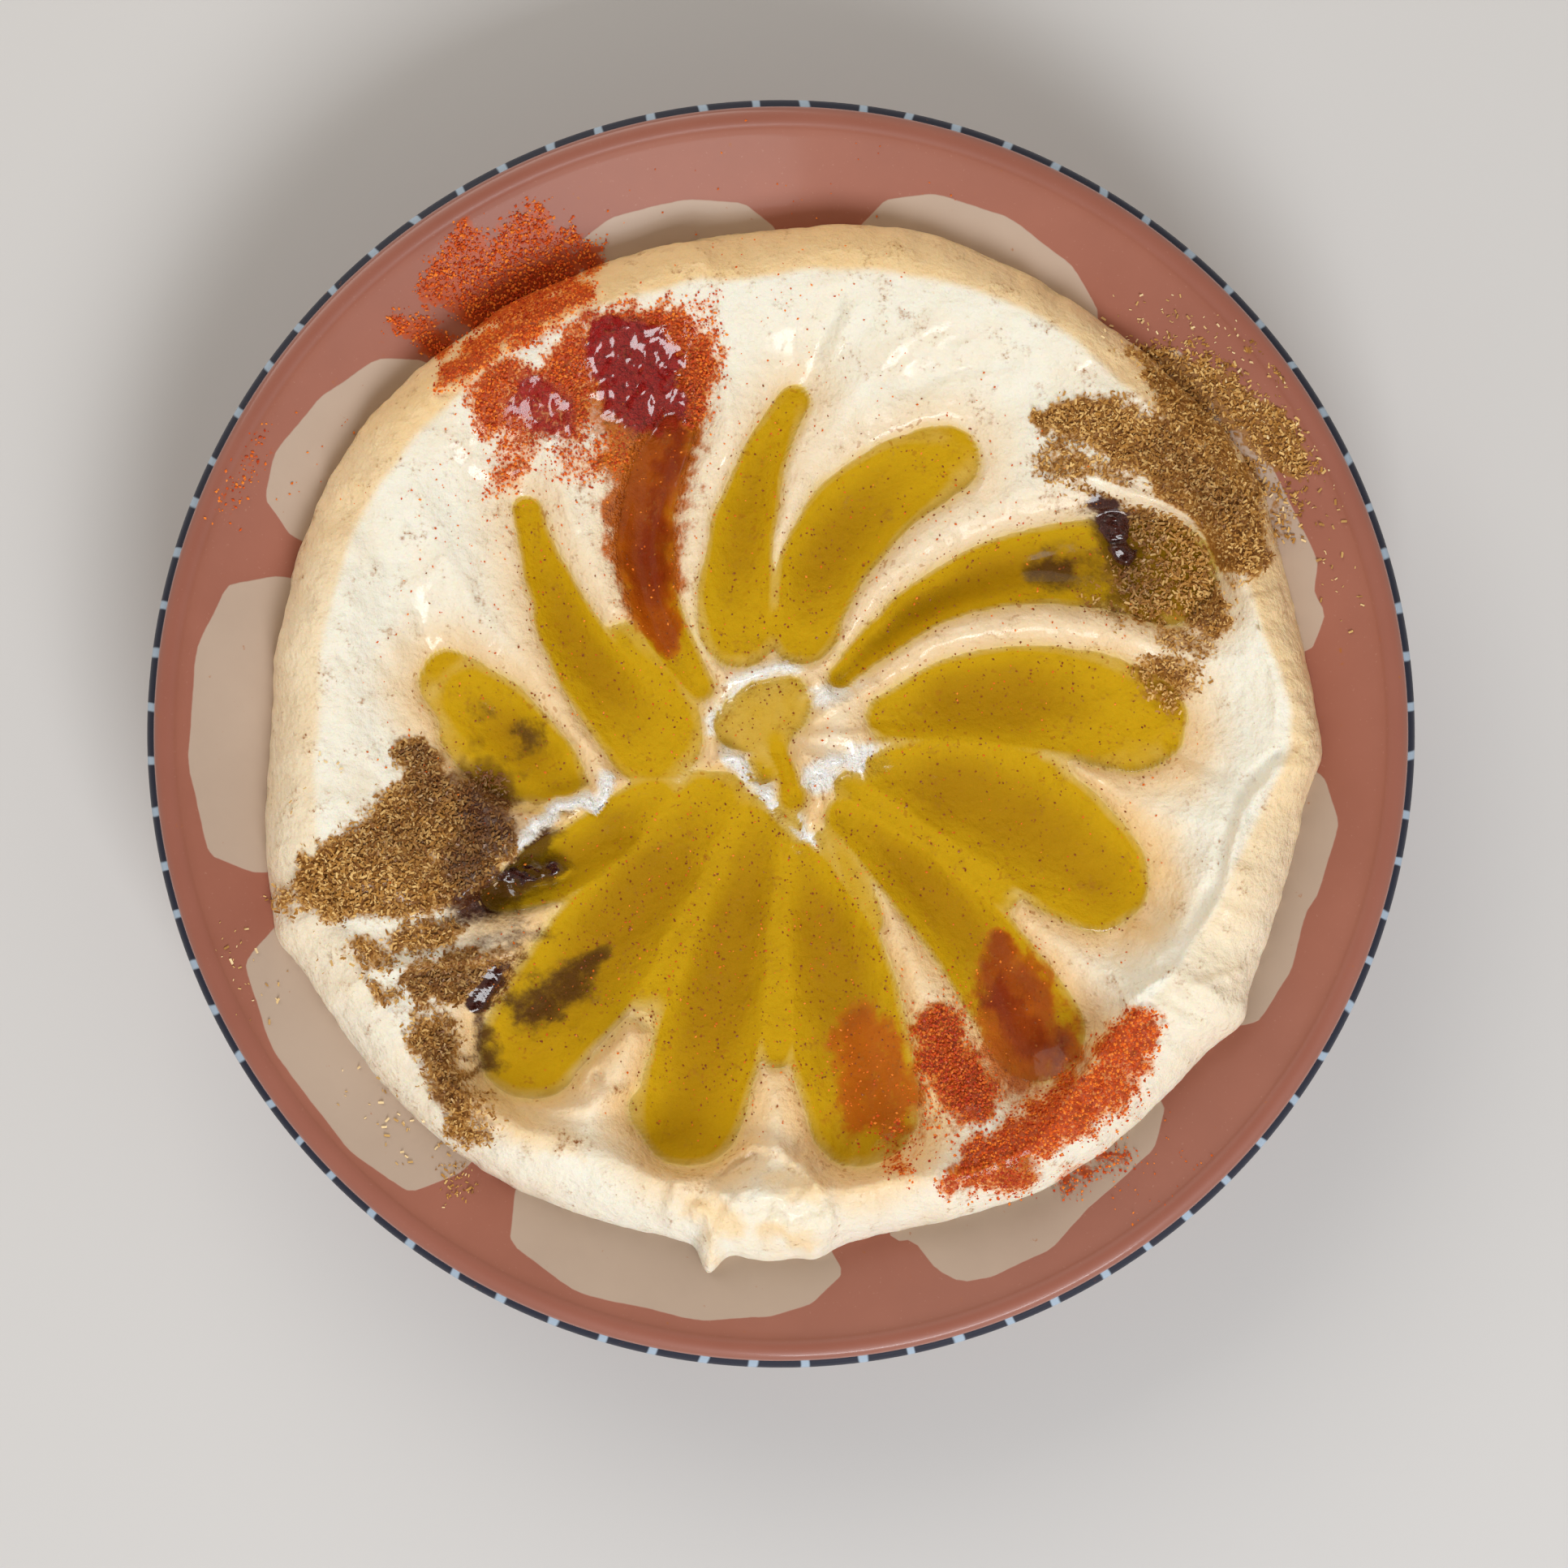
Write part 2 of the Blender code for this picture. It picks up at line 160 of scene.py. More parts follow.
# Spoon furrows: angle and radius about the swirl at both ends, the bow of the middle, half widths, depth under
# the oil, and the share of that depth left at the outer end. Most are the solids' own. The spills, the shelf
# and the crater's end are shallow ones that are only shown here, and a few others are reshaped at their ends.
FURROWS = {
    "noon": (105.7, 22.1, 87.1, 57.6, 3.2, (6.6, 4.6, 2.4), 3.6, 0.2),
    "one": (76.9, 20.5, 59.9, 55.8, 5.6, (5.1, 7.3, 5.3), 4.2, 0.2),
    "two": (48.9, 16.8, 24.9, 70.8, 8.4, (1.9, 5.1, 8.2), 4.4, 0.5),
    "three": (17.8, 19.6, 5.5, 58.9, 3.4, (3.7, 8.3, 8.3), 4.6, 0.2),
    "four": (-10, 17.6, -20.8, 56.3, 3, (3.2, 10.4, 8.5), 4.6, 0.7),
    "five": (-41.6, 15.7, -46.7, 62.6, 2.4, (3.2, 6.4, 7.7), 4.6, 0.7),
    "half_past_five": (-76.8, 17.5, -76.2, 60.4, 0.8, (3.6, 9.3, 8.8), 4.8, 0.5),
    "half_past_six": (257.7, 12.8, 256.6, 60.5, 0.2, (4.4, 8.3, 8.4), 5.4, 0.6),
    "half_past_seven": (217, 14, 230.2, 62.4, 0.2, (5.6, 9.3, 8.6), 5, 0.5),
    "eight": (203, 21.5, 206, 50, 1.5, (4.8, 5.4, 3.6), 4, 0.6),
    "nine": (188, 35.6, 167.5, 54.8, -0.8, (4, 6.3, 4.8), 3.8, 0.2),
    "ten": (171.5, 20.5, 135.5, 57, 3.1, (7.8, 4.8, 1.9), 4.2, 0.3),
    "eleven": (138.2, 17, 107.1, 56, 6.6, (2.4, 4.2, 3), 3.4, 0.1),
    "crater": (142, 7.7, 81, 8.4, 0, (3.6, 5.4, 4.4), 0.42, 0.9),
    "spill_six": (270, 13, 270.4, 49, 0, (4.5, 6.5, 2.6), 2.3, 0.6),
    "spill_seven": (246, 12, 243.5, 44, 0, (4.5, 7, 5.5), 2.3, 0.6),
    "crater_tail": (90, 2.1, 294, 7.8, 0, (2.2, 1.2, 2.2), 1.8, 0.9),
    "shelf": (250.5, 62, 259, 60.5, 0, (3.2, 4.6, 5), 1.2, 0.9),
    "spill_noon": (96, 22.5, 70, 21.5, 0, (3, 3.6, 3), 1.1, 0.8),
    "spill_eight": (219, 11, 221, 38, 0, (4, 6.5, 4.5), 2, 0.6),
    "spill_three": (2, 23, -4, 44, 0, (2.6, 5, 4.5), 1.7, 0.7),
    "spill_four": (-21, 14, -31, 42, -1, (3, 5.5, 4.5), 1.8, 0.7),
    "spill_ten": (174, 17.5, 146, 29.5, 0, (5.2, 7.2, 5), 1.7, 0.6),
    "spill_nine": (186, 37, 176, 50, 0, (5, 6.6, 5), 1.6, 0.6),
    "crater_end": (225, 2.6, 228, 3.4, 0, (2.2, 2.5, 2.2), 0.9, 0.9),
    "spill_five": (-60, 17, -60, 31, 0, (2.5, 3.2, 2.2), 0.7, 0.6),
}
PATH_POINTS = 40

# Folds, lips and hollows on the hummus: points (x, y, half width) in mm along each, then its height.
FOLDS = (
    (((-12, -5.6, 0.5), (-7.6, -3.7, 0.7), (-5, -5.9, 0.8), (-3, -9.5, 0.8), (-1.4, -13.3, 0.9), (5, -18.4, 1.1)),
      1.6),
    (((-10.3, 2.5, 0.5), (-7.6, 6.5, 0.7), (-3.7, 9.6, 0.8), (0.7, 11.2, 0.8)), 1),
    (((3, -3.5, 1.1), (10.3, -5.6, 1.2), (15.4, -6.4, 0.8)), 2),
    (((5, -0.5, 0.8), (13, 0, 0.8), (19.7, 0.8, 0.5)), 1.2),
    (((5, 2.5, 0.8), (10.3, 4.8, 0.8), (15.4, 8.3, 0.7)), 1),
    (((3.7, 6.1, 0.7), (6.6, 9.3, 0.7), (9, 12.3, 0.7)), 0.8),
    (((5.3, -8.3, 0.8), (6.6, -11.5, 0.8)), 0.8),
    (((43.7, -3.7, 1.1), (47.1, -4.8, 1.5), (51.6, -6.8, 1.7)), 1.4),
    (((36.6, -25.7, 0.9), (43.7, -26.8, 1.3)), 0.8),
    (((-20.8, -44, 2.6), (-25.5, -50.5, 4.2), (-30, -57, 4.6)), 2.4),
    (((-30, -56.6, 1.3),), -2.2),
    (((-49, -60.3, 0.8), (-40, -61, 1), (-32.5, -61.5, 1.1), (-26, -58.5, 1)), 1.1),
    (((-65.1, -38.8, 0.9), (-55.5, -37.6, 1), (-46.7, -36.8, 1), (-42, -35.5, 0.8)), 1.6),
    (((-49.8, -45.6, 0.6), (-46.6, -41, 0.7), (-43.2, -37.4, 0.6)), 0.9),
    (((-17.6, -73.6, 0.9), (-12, -72.8, 0.9), (-7.6, -69.6, 1.1), (-4.3, -67.8, 1.1), (-0.1, -68.5, 1.1),
      (3.4, -70.6, 0.9), (5.8, -73.8, 0.8)), 2),
    (((-13.9, -78.4, 1.1), (-10.3, -76.8, 1.1), (-5.6, -75.4, 0.9)), 1.4),
    (((-12, -79.4, 0.8), (-11, -83.4, 0.8)), 1.4),
    (((-4.3, -79.4, 1.3), (2.3, -82.1, 1.6), (7.9, -80.5, 1.1)), 1),
    (((87.9, -0.1, 0.7), (80.4, -7.2, 0.8), (76, -12.8, 0.8), (73.6, -24.1, 0.8), (69.1, -33, 0.8),
      (65.8, -37.6, 0.7), (58.4, -43.2, 0.7)), 1.4),
    (((83.9, -1.3, 0.8), (78.3, -6.4, 1.1), (73.8, -12.8, 1.1), (71.5, -23.5, 1.1), (66.7, -32.2, 0.9)), -0.8),
    (((59, -44.1, 0.8), (63.6, -42.9, 1.1), (70.3, -41, 1.2), (75.4, -38.9, 1.1)), 1.2),
    (((61, -47.7, 1.1), (67.6, -48.8, 1.2), (73, -46.9, 1.1)), 0.9),
    (((77.6, 21.9, 0.7), (79.6, 13.9, 0.8), (81.6, 7.2, 0.8), (81.2, 0.5, 0.8)), 0.7),
    (((-48.3, 13.9, 2.4), (-54.2, 27.2, 2.7), (-58.9, 37.8, 2.4)), 0.8),
    (((10.3, 53.8, 2.4), (19.7, 63.2, 2.7), (29, 68.5, 2.4)), 0.8),
    (((5, 57.8, 3.5), (6.3, 64.5, 3.2), (9, 69.8, 2.7)), -1.6),
    (((31.7, 51.2, 5.1), (43.7, 57.8, 4.5), (54.3, 59.8, 3.5)), -1.6),
    (((-21.6, 63.2, 6.1), (-24.3, 69.2, 5.3)), -1),
    (((-41, 37.8, 2.4), (-44.3, 45.8, 2.9)), -1),
    (((-56.3, 13.9, 4.5), (-64.3, 24.5, 5.6), (-69.6, 35.2, 5.1)), -1.8),
    (((63.6, 3.2, 4.8), (74.3, 5.9, 3.7)), -0.8),
    (((53, -24.8, 5.1), (63.6, -30.1, 4.5)), -1.2),
    (((-58, 6, 0.8), (-52, 12, 1.2), (-46, 16.5, 0.8)), 0.7),
    (((-64, 14, 1.6), (-60, 24, 2.2), (-52, 32, 1.6)), 0.9),
    (((-50, 22, 1.4), (-47, 32, 1.8), (-43, 40, 1.4)), -0.9),
    (((-34, 34, 1.2), (-37, 42, 1.6), (-38.5, 48, 1.2)), 0.8),
    (((-8.5, 34, 1.2), (-8, 46, 1.6), (-9, 58, 1.6)), 0.8),
    (((20, 56, 1.4), (29, 60, 1.8), (38, 61, 1.4)), -0.8),
    (((8, 62, 1.2), (12, 70, 1.6)), 0.8),
    (((38, 38, 1.6), (48, 42.5, 1.6), (57.4, 40, 1.2)), 0.8),
    (((57.4, 39.3, 0.9), (63.3, 37.4, 0.9), (67.7, 34.8, 0.8), (69.9, 31.9, 0.8), (72.1, 26.7, 0.9)), 1),
    (((64, -2, 1.6), (72, -6, 1.6)), -0.8),
    (((56, -30, 1.6), (62, -36, 1.6)), 0.9),
)
# The edge of the fold that laps over the furrow at eight o'clock.
WAVE = (
    (-70.9, -32.2), (-61.6, -31.7), (-53.6, -28.5), (-46.3, -23.7), (-42.3, -19.2), (-39.2, -15.7), (-36.3, -12.8),
    (-32.3, -11.7), (-30.3, -13.6), (-28.4, -12), (-27.8, -8.3),
)

# Spices, laid along points (x, y, half width) in mm, each with how thickly it lies.
PAPRIKA = (
    (((-41.5, 83.6, 3.6), (-39, 78.1, 4.8), (-48.3, 73.8, 6.2)), 1),
    (((-51.6, 80.5, 2.7), (-55.2, 73.8, 3.2)), 0.95),
    (((-45.6, 81.8, 2.4), (-48.3, 80.5, 2.7)), 0.3),
    (((-61.2, 66.9, 1.6), (-57, 64.5, 2.1)), 0.9),
    (((-33.9, 82.1, 1.2), (-32, 78.9, 1.9)), 0.85),
    (((-54.6, 59, 1.8), (-44, 66.5, 3), (-32.5, 72.8, 2.4)), 0.95),
    (((-32.8, 61.8, 4.8), (-24.5, 64.5, 5.9), (-18, 66, 4.5)), 1),
    (((-25.6, 57.8, 4.5), (-15.6, 61.8, 4.8), (-15, 53.8, 2.9)), 0.95),
    (((-45, 54.5, 5.6), (-36.6, 53.8, 5.1)), 0.95),
    (((-36.3, 59.8, 3.2), (-30.3, 61.2, 3.5)), 0.85),
    (((-43, 47.8, 4), (-45.9, 41.8, 2.7)), 0.55),
    (((-35, 45.8, 3.2), (-27, 45.8, 2.7)), 0.45),
    (((-13, 69.8, 2.1), (-12, 59.2, 2.1)), 0.4),
    (((25.5, -49.4, 4.2), (30.5, -58.8, 5.2)), 0.95),
    (((23.7, -58.1, 1.7), (26.3, -66.1, 1.7)), 0.25),
    (((58.6, -48.6, 2.9), (53, -58.8, 4.6), (41, -65.8, 4.3), (31.5, -70, 2.2)), 1),
    (((27.7, -74.4, 1.1), (33.3, -72.5, 2.3), (40.7, -73.6, 1.2)), 1),
    (((47.7, -73.8, 1.1), (55, -69.4, 1.2)), 0.55),
    (((18.3, -70.9, 1.1), (20.1, -72, 0.9)), 0.8),
    (((16.3, -66.8, 2.4), (22.3, -67.7, 1.9)), 0.3),
    (((22.3, -52.8, 1.2), (30.3, -44.8, 1.2)), 0.12),
    (((-92.3, 39.2, 2.9), (-85.3, 46.9, 1.9)), 0.22),
)
CUMIN = (
    (((69.2, 58.9, 2.3), (73.2, 56.8, 2.3), (81, 48.5, 3.1), (85, 44.2, 2.3)), 1),
    (((58, 63.4, 1.2), (66.3, 61.2, 1.9)), 0.75),
    (((79.4, 64.8, 1.3), (81.9, 60.5, 1.2)), 0.6),
    (((82.6, 37.2, 1.9), (83.4, 32.2, 1.1)), 0.35),
    (((43, 51.8, 1.7), (53, 51.2, 3.2), (63, 45.8, 5.1), (71.6, 37.2, 5.1), (75.6, 28.2, 2.7)), 1),
    (((60.3, 58.5, 1.6), (67.6, 53.8, 2.7), (74.6, 42.5, 2.7), (78.7, 29.8, 1.5)), 0.85),
    (((45.5, 45, 3.2), (53.5, 41.5, 3.4)), 0.5),
    (((58.3, 34.9, 2.9), (63.6, 32.2, 4.5), (69.2, 24.3, 4.5), (70.6, 19.9, 3.2)), 1),
    (((56.2, 28.5, 2), (61, 21.6, 2.7)), 1),
    (((51, 22.4, 1.1), (58.3, 19.7, 1.5)), 0.35),
    (((62.3, 10.5, 2), (66, 9.6, 2.1)), 0.9),
    (((63.6, 6.5, 1.6), (64.4, 5.6, 1.2)), 0.75),
    (((63.4, 15.2, 0.8), (68.4, 14.5, 0.9)), 0.6),
    (((-60.5, -2.8, 2.3), (-57.6, -12.1, 5.6), (-64.3, -19.7, 6.9), (-74.7, -25.1, 5.1)), 1),
    (((-50.3, -10.8, 4), (-48.6, -18.1, 4.5), (-53.6, -24.1, 4.5)), 1),
    (((-64.3, -27.2, 3.2), (-55.6, -26.1, 2.9)), 0.9),
    (((-82.3, -27.4, 1.2), (-81.3, -26.9, 0.9)), 0.7),
    (((-62.9, -34.1, 1.2), (-56.3, -33.4, 1.9)), 0.95),
    (((-70.3, -35.2, 1.3), (-65.3, -37.4, 1.6)), 0.6),
    (((-58.9, -41.4, 2.5), (-48.3, -39.4, 2.9), (-45.9, -38.8, 1.9)), 1),
    (((-65.6, -41.4, 1.3), (-64.3, -42.8, 1.3)), 0.6),
    (((-57.6, -48.5, 2.3), (-54.7, -56.8, 2), (-52, -66.1, 1.6)), 0.85),
    (((-48.3, -66.1, 1.3), (-49.6, -60.8, 1.3)), 0.4),
    (((-53, -73.6, 1.5), (-52, -74.4, 1.1)), 0.35),
)
WET_CUMIN = (
    (((53.2, 37.6, 1.3), (56.4, 28.8, 1.6)), 1),
    (((43.4, 27.6, 2.4), (47.1, 27.6, 2.4)), 1),
    (((51.6, 28.5, 2.9), (55.6, 21.9, 2.1)), 0.4),
    (((-53.6, -29.8, 1.6), (-45.6, -26.1, 2.4), (-37.6, -21.9, 1.2)), 1),
    (((-40.3, -32.8, 1.9), (-48.3, -34.1, 1.9)), 0.5),
    (((-42.3, -45.8, 2.7), (-35.6, -41.4, 2.4), (-29.9, -36.5, 1.2)), 1),
    (((-50.7, -46.1, 1.1), (-49.4, -53.6, 1.6)), 0.9),
    (((-46.7, -38.8, 1.9), (-44.8, -38.1, 1.3)), 0.9),
    (((-49.9, 3.7, 0.9), (-48.8, 3.2, 0.8)), 0.7),
    (((-43, 0.5, 1.1), (-41.4, -2.8, 1.3)), 0.8),
    (((-48.3, -12.8, 3.5), (-46.7, -15.5, 2.7)), 0.6),
    (((-41.6, -24.8, 1.9), (-40.3, -24.8, 1.9)), 0.8),
)
STRAY_CUMIN = (
    (((58.3, 67.2, 5.3), (79.6, 59.2, 8), (86.3, 40.5, 6)), 0.1),
    (((90.3, 35.2, 3.3), (93, 19.2, 2.7)), 0.05),
    (((-90.9, -35.4, 4), (-85.6, -43.4, 4)), 0.06),
    (((-69.6, -56.8, 2.7), (-53.6, -72.8, 4)), 0.05),
    (((-74.9, -12.8, 8), (-69.6, -36.8, 8)), 0.02),
)
STRAY_PAPRIKA = (
    (((58.3, -66.1, 6.7), (63.6, -75.4, 9.3)), 0.05),
    (((-48.3, 53.8, 8), (-8.3, 45.8, 9.3)), 0.06),
    (((5, 75.2, 8), (-8.3, 76.5, 6.7)), 0.03),
    (((37, -36.8, 8), (21, -50.1, 6.7)), 0.05),
    (((10, -52, 4), (17, -62, 6)), 0.16),
    (((-53.6, 37.8, 8), (-43, 35.2, 8)), 0.04),
    (((-74.9, 45.8, 9.3), (-88.3, 45.8, 5.3)), 0.015),
    (((-0.3, 73.8, 33.3), (-35, 87.1, 16)), 0.008),
)
# Oil reddened by paprika, and the crusts of paprika soaked to a crimson glaze.
RED_OIL = (
    (((-21.5, 60, 8), (-21, 50, 7.6), (-22.5, 40, 6.6), (-23, 31, 5.4), (-21.3, 21, 3.6), (-18.5, 14, 1.6)), 0.78),
    (((-16, 58, 3), (-17.2, 50, 3), (-19.6, 41, 2.8), (-21.6, 32, 2.2), (-21.6, 25, 1.2)), 1),
    (((-30, 55, 4.5), (-26, 49, 4.5)), 0.5),
    (((35.5, -34, 2), (38, -43, 6), (40, -51, 8)), 0.72),
    (((37, -42, 2.6), (38, -46.5, 4.2), (41, -52, 3.5)), 1),
    (((47.7, -51, 1.2), (45.5, -56, 1.6)), 1),
    (((13.5, -50, 5), (16.5, -60, 7.5)), 0.62),
    (((25.5, -49.4, 4.2), (30.5, -58.8, 5.2)), 0.7),
    (((30, -71.5, 1.5), (40, -71.5, 1.5)), 0.9),
)
CORES = (
    (((-27, 63.5, 5.2), (-23, 59, 7.2), (-22, 55, 6.4)), 1),
    (((-41, 55.5, 3.6), (-38, 52.5, 4.4)), 0.75),
)
# A bare line of hummus between two heaps of cumin.
BARE_LINE = (
    (51, 41.5, 0.8), (57.4, 39.3, 0.8), (63.3, 37.4, 0.8), (67.7, 34.8, 0.7), (69.9, 31.9, 0.7), (72.1, 26.7, 0.8),
    (73.9, 22.3, 0.8),
)
# Wet lumps of cumin that stand out of the oil.
LUMPS = (
    (((53.4, 37.2, 1.5), (54.8, 33.5, 2.1), (56.6, 29, 1.5)), 1),
    (((-44.5, -24.6, 1.7), (-37.4, -22.4, 1.5)), 0.8),
    (((-50.5, -44, 1.8), (-46.5, -40, 1.8)), 1),
)
# Where loose paprika is soaked.
SOGGY = CORES + (
    (((25.5, -49.4, 4.2), (30.5, -58.8, 5.2)), 0.4),
    (((28, -73.4, 1.2), (40, -72.5, 1.4)), 0.5),
)
# Where oil has crept up into the cumin and darkened it.
DARKENED = (
    (((-49.5, -7.5, 4), (-47.5, -15, 4), (-52, -22, 3)), 1),
    (((-60, -3.5, 3), (-57, -9, 4)), 0.7),
    (((-66, -16, 3), (-60, -18, 4)), 0.45),
    (((-60, -41, 2), (-50, -39, 3)), 0.6),
    (((-56, -50, 2), (-54, -58, 2)), 0.6),
    (((56, 33, 4), (58, 24, 3)), 0.8),
    (((64, 46, 3), (72, 38, 3)), 0.5),
)
# Fine specks all over the middle, every one of them soaked.
SPECKS = (
    (((0, 0, 68),), 0.014),
    (((-5, -35, 28),), 0.032),
    (((20, 10, 34), (-22, 20, 22)), 0.02),
)
SPECKS_SOAKED = (
    (((0, 0, 200),), 0.6),
)
# Places where the hummus is painted whitest, as dry hummus with painted light on it: the broken rim of the crater
# and the tip of the lapping fold.
WHITE = (
    (((5.5, -7.5, 2), (10.5, -4, 2), (15.5, -5, 1.5)), 1),
    (((-8, -3.5, 1.2), (-3.5, -8.5, 1.4), (-1, -13, 1.6), (4, -17.5, 1.6)), 1),
    (((6, 6, 1.5), (11, 9, 1.5)), 0.8),
    (((-11.5, 0.5, 0.9), (-8.9, 5, 0.9), (-4.2, 9.4, 0.9), (1.3, 11, 0.9)), 0.9),
)


def clear_default_scene():
    for obj in list(bpy.data.objects):
        bpy.data.objects.remove(obj)


clear_default_scene()
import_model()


# ---- Noise ----
def lattice(i, j, seed):
    """Repeatable numbers from 0 to 1 at whole-numbered points."""
    mixed = i.astype(np.int64) * 374761393 + j.astype(np.int64) * 668265263 + seed * 144269504
    mixed = ((mixed ^ (mixed >> 13)) * 1274126177) & 0x7FFFFFFF
    mixed = ((mixed ^ (mixed >> 15)) * 668265263) & 0x7FFFFFFF
    return ((mixed ^ (mixed >> 11)) & 0xFFFFFF) / 0xFFFFFF


def noise(x, y, size, seed=0):
    """Smooth noise from -1 to 1 with lumps about this size."""
    x, y = x / size + 517.3, y / size + 811.7
    i, j = np.floor(x), np.floor(y)
    u, v = x - i, y - j
    u, v = u * u * u * (u * (u * 6 - 15) + 10), v * v * v * (v * (v * 6 - 15) + 10)
    low = lattice(i, j, seed) * (1 - u) + lattice(i + 1, j, seed) * u
    high = lattice(i, j + 1, seed) * (1 - u) + lattice(i + 1, j + 1, seed) * u
    return 2 * (low * (1 - v) + high * v) - 1


def rough(x, y, size, seed=0, octaves=3):
    """Noise with finer noise on it."""
    total = 0.0
    for k in range(octaves):
        total = total + noise(x, y, size / 2**k, seed + 17 * k) * 0.5**k
    return total / 1.5


def step(low, high, value):
    share = np.clip((value - low) / (high - low), 0, 1)
    return share * share * (3 - 2 * share)


def wobbled(x, y, wobble):
    """A place shifted about by noise."""
    size, strength, seed = wobble
    return (
        x + rough(x, y, size * MM, seed) * strength * MM,
        y + rough(x, y, size * MM, seed + 1) * strength * MM,
    )


def smooth_least(first, second, blend):
    share = np.clip(0.5 + 0.5 * (second - first) / blend, 0, 1)
    return second * (1 - share) + first * share - blend * share * (1 - share)


# ---- The hummus's shape ----
def round_the_ring(values, angle):
    """Evenly spaced values joined into a smooth closed curve, read at angles in radians."""
    values = np.asarray(values, float)
    place = (np.asarray(angle) / math.tau % 1.0) * len(values)
    first = np.floor(place).astype(int)
    share = place - first
    before, here, after, later = (values[(first + k) % len(values)] for k in (-1, 0, 1, 2))
    slope_here, slope_after = (after - before) / 2, (later - here) / 2
    rise = after - here
    return (
        here
        + slope_here * share
        + (3 * rise - 2 * slope_here - slope_after) * share**2
        + (slope_here + slope_after - 2 * rise) * share**3
    )


def mound_radius(angle):
    radius = round_the_ring(MOUND_MM, angle) * MM
    for degrees, out, half_width in EDGE_LUMPS:
        off = (np.degrees(angle) - degrees + 180) % 360 - 180
        radius = radius + out * MM * np.exp(-((off / half_width) ** 2))
    x, y = np.cos(angle), np.sin(angle)
    wobble = rough(x, y, 0.10, 5) * 0.35 + rough(x, y, 0.03, 6) * 0.16
    return radius + wobble * MM


def crest_radius(angle):
    smooth = round_the_ring(MOUND_MM, angle) * MM
    x, y = np.cos(angle), np.sin(angle)
    return smooth - round_the_ring(SHOULDER_MM, angle) * MM + rough(x, y, 0.16, 9) * 0.9 * MM


def crest_z(angle):
    x, y = np.cos(angle), np.sin(angle)
    wobble = rough(x, y, 0.22, 12) * 0.5
    return OIL_LEVEL + RING_RISE + (round_the_ring(CREST_MM, angle) + wobble) * MM


def furrow_path(furrow):
    """Points along a furrow, its half width at each, and each one's share of the way."""
    angle_in, radius_in, angle_out, radius_out, bow, widths, _, _ = furrow
    share = np.linspace(0, 1, PATH_POINTS)[:, None]
    ends = [
        np.array([math.cos(math.radians(a)), math.sin(math.radians(a))]) * r * MM
        for a, r in ((angle_in, radius_in), (angle_out, radius_out))
    ]
    along = ends[1] - ends[0]
    left = np.array([-along[1], along[0]]) / np.hypot(*along)
    path = ends[0] + along * share + left * bow * MM * 4 * share * (1 - share) + np.array(SWIRL)
    share = share[:, 0]
    inner, middle, outer = widths
    width = inner * (1 - share) * (1 - 2 * share) + middle * 4 * share * (1 - share)
    width = (width + outer * share * (2 * share - 1)) * MM
    return path, width, share


def furrow_depth_share(share, outer_share):
    sinking = np.clip(share / 0.25, 0, 1)
    lifting = np.clip((1 - share) / 0.45, 0, 1)
    return (0.45 + 0.55 * sinking) * (outer_share + (1 - outer_share) * lifting)


def furrow_fields(x, y):
    """Distance to the nearest shore, less than nothing inside a furrow, and the depth under the oil."""
    shore = np.full(x.shape, 1.0)
    depth = np.zeros(x.shape)
    for furrow in FURROWS.values():
        path, width, share = furrow_path(furrow)
        deep = furrow[6] * MM * furrow_depth_share(share, furrow[7])
        away = np.hypot(x[..., None] - path[:, 0], y[..., None] - path[:, 1])
        outside = (away - width).min(-1)
        inside = away / width
        nearest = inside.argmin(-1)
        hollow = deep[nearest] * np.clip(1 - inside.min(-1) ** 2, 0, None)
        shore = smooth_least(shore, outside, BLEND)
        depth = -smooth_least(-depth, -hollow, BLEND / 2)
    return shore, depth


def along_points(x, y, points):
    """Distance from a run of points (x, y, half width) over the half width there."""
    best = np.full(x.shape, 99.0)
    points = list(points)
    if len(points) == 1:
        points = points * 2
    for (x0, y0, w0), (x1, y1, w1) in zip(points, points[1:]):
        dx, dy = (x1 - x0) * MM, (y1 - y0) * MM
        length = max(dx * dx + dy * dy, 1e-12)
        share = np.clip(((x - x0 * MM) * dx + (y - y0 * MM) * dy) / length, 0, 1)
        away = np.hypot(x - x0 * MM - dx * share, y - y0 * MM - dy * share)
        best = np.minimum(best, away / ((w0 + (w1 - w0) * share) * MM))
    return best


def folds(x, y):
    """The raised lips and soft hollows together, as a height."""
    wx, wy = wobbled(x, y, FOLD_WOBBLE)
    total = np.zeros(x.shape)
    for points, height in FOLDS:
        total = total + height * MM * np.exp(-along_points(wx, wy, points) ** 2)
    return total


def wave_side(x, y):
    """Distance behind the lapping fold's ragged edge, less than nothing in front, and the share along it."""
    points = np.array(WAVE) * MM
    best = np.full(x.shape, 1.0)
    side = np.full(x.shape, -1.0)
    along = np.zeros(x.shape)
    total = len(points) - 1
    for k in range(total):
        (x0, y0), (x1, y1) = points[k], points[k + 1]
        dx, dy = x1 - x0, y1 - y0
        raw = ((x - x0) * dx + (y - y0) * dy) / (dx * dx + dy * dy)
        share = np.clip(raw, 0, 1)
        away = np.hypot(x - x0 - dx * share, y - y0 - dy * share)
        near = away < best
        best = np.where(near, away, best)
        side = np.where(near, np.sign(dx * (y - y0) - dy * (x - x0)), side)
        along = np.where(near, (k + share) / total, along)
    return best * side + rough(x, y, 2.6 * MM, 41) * 0.7 * MM, along


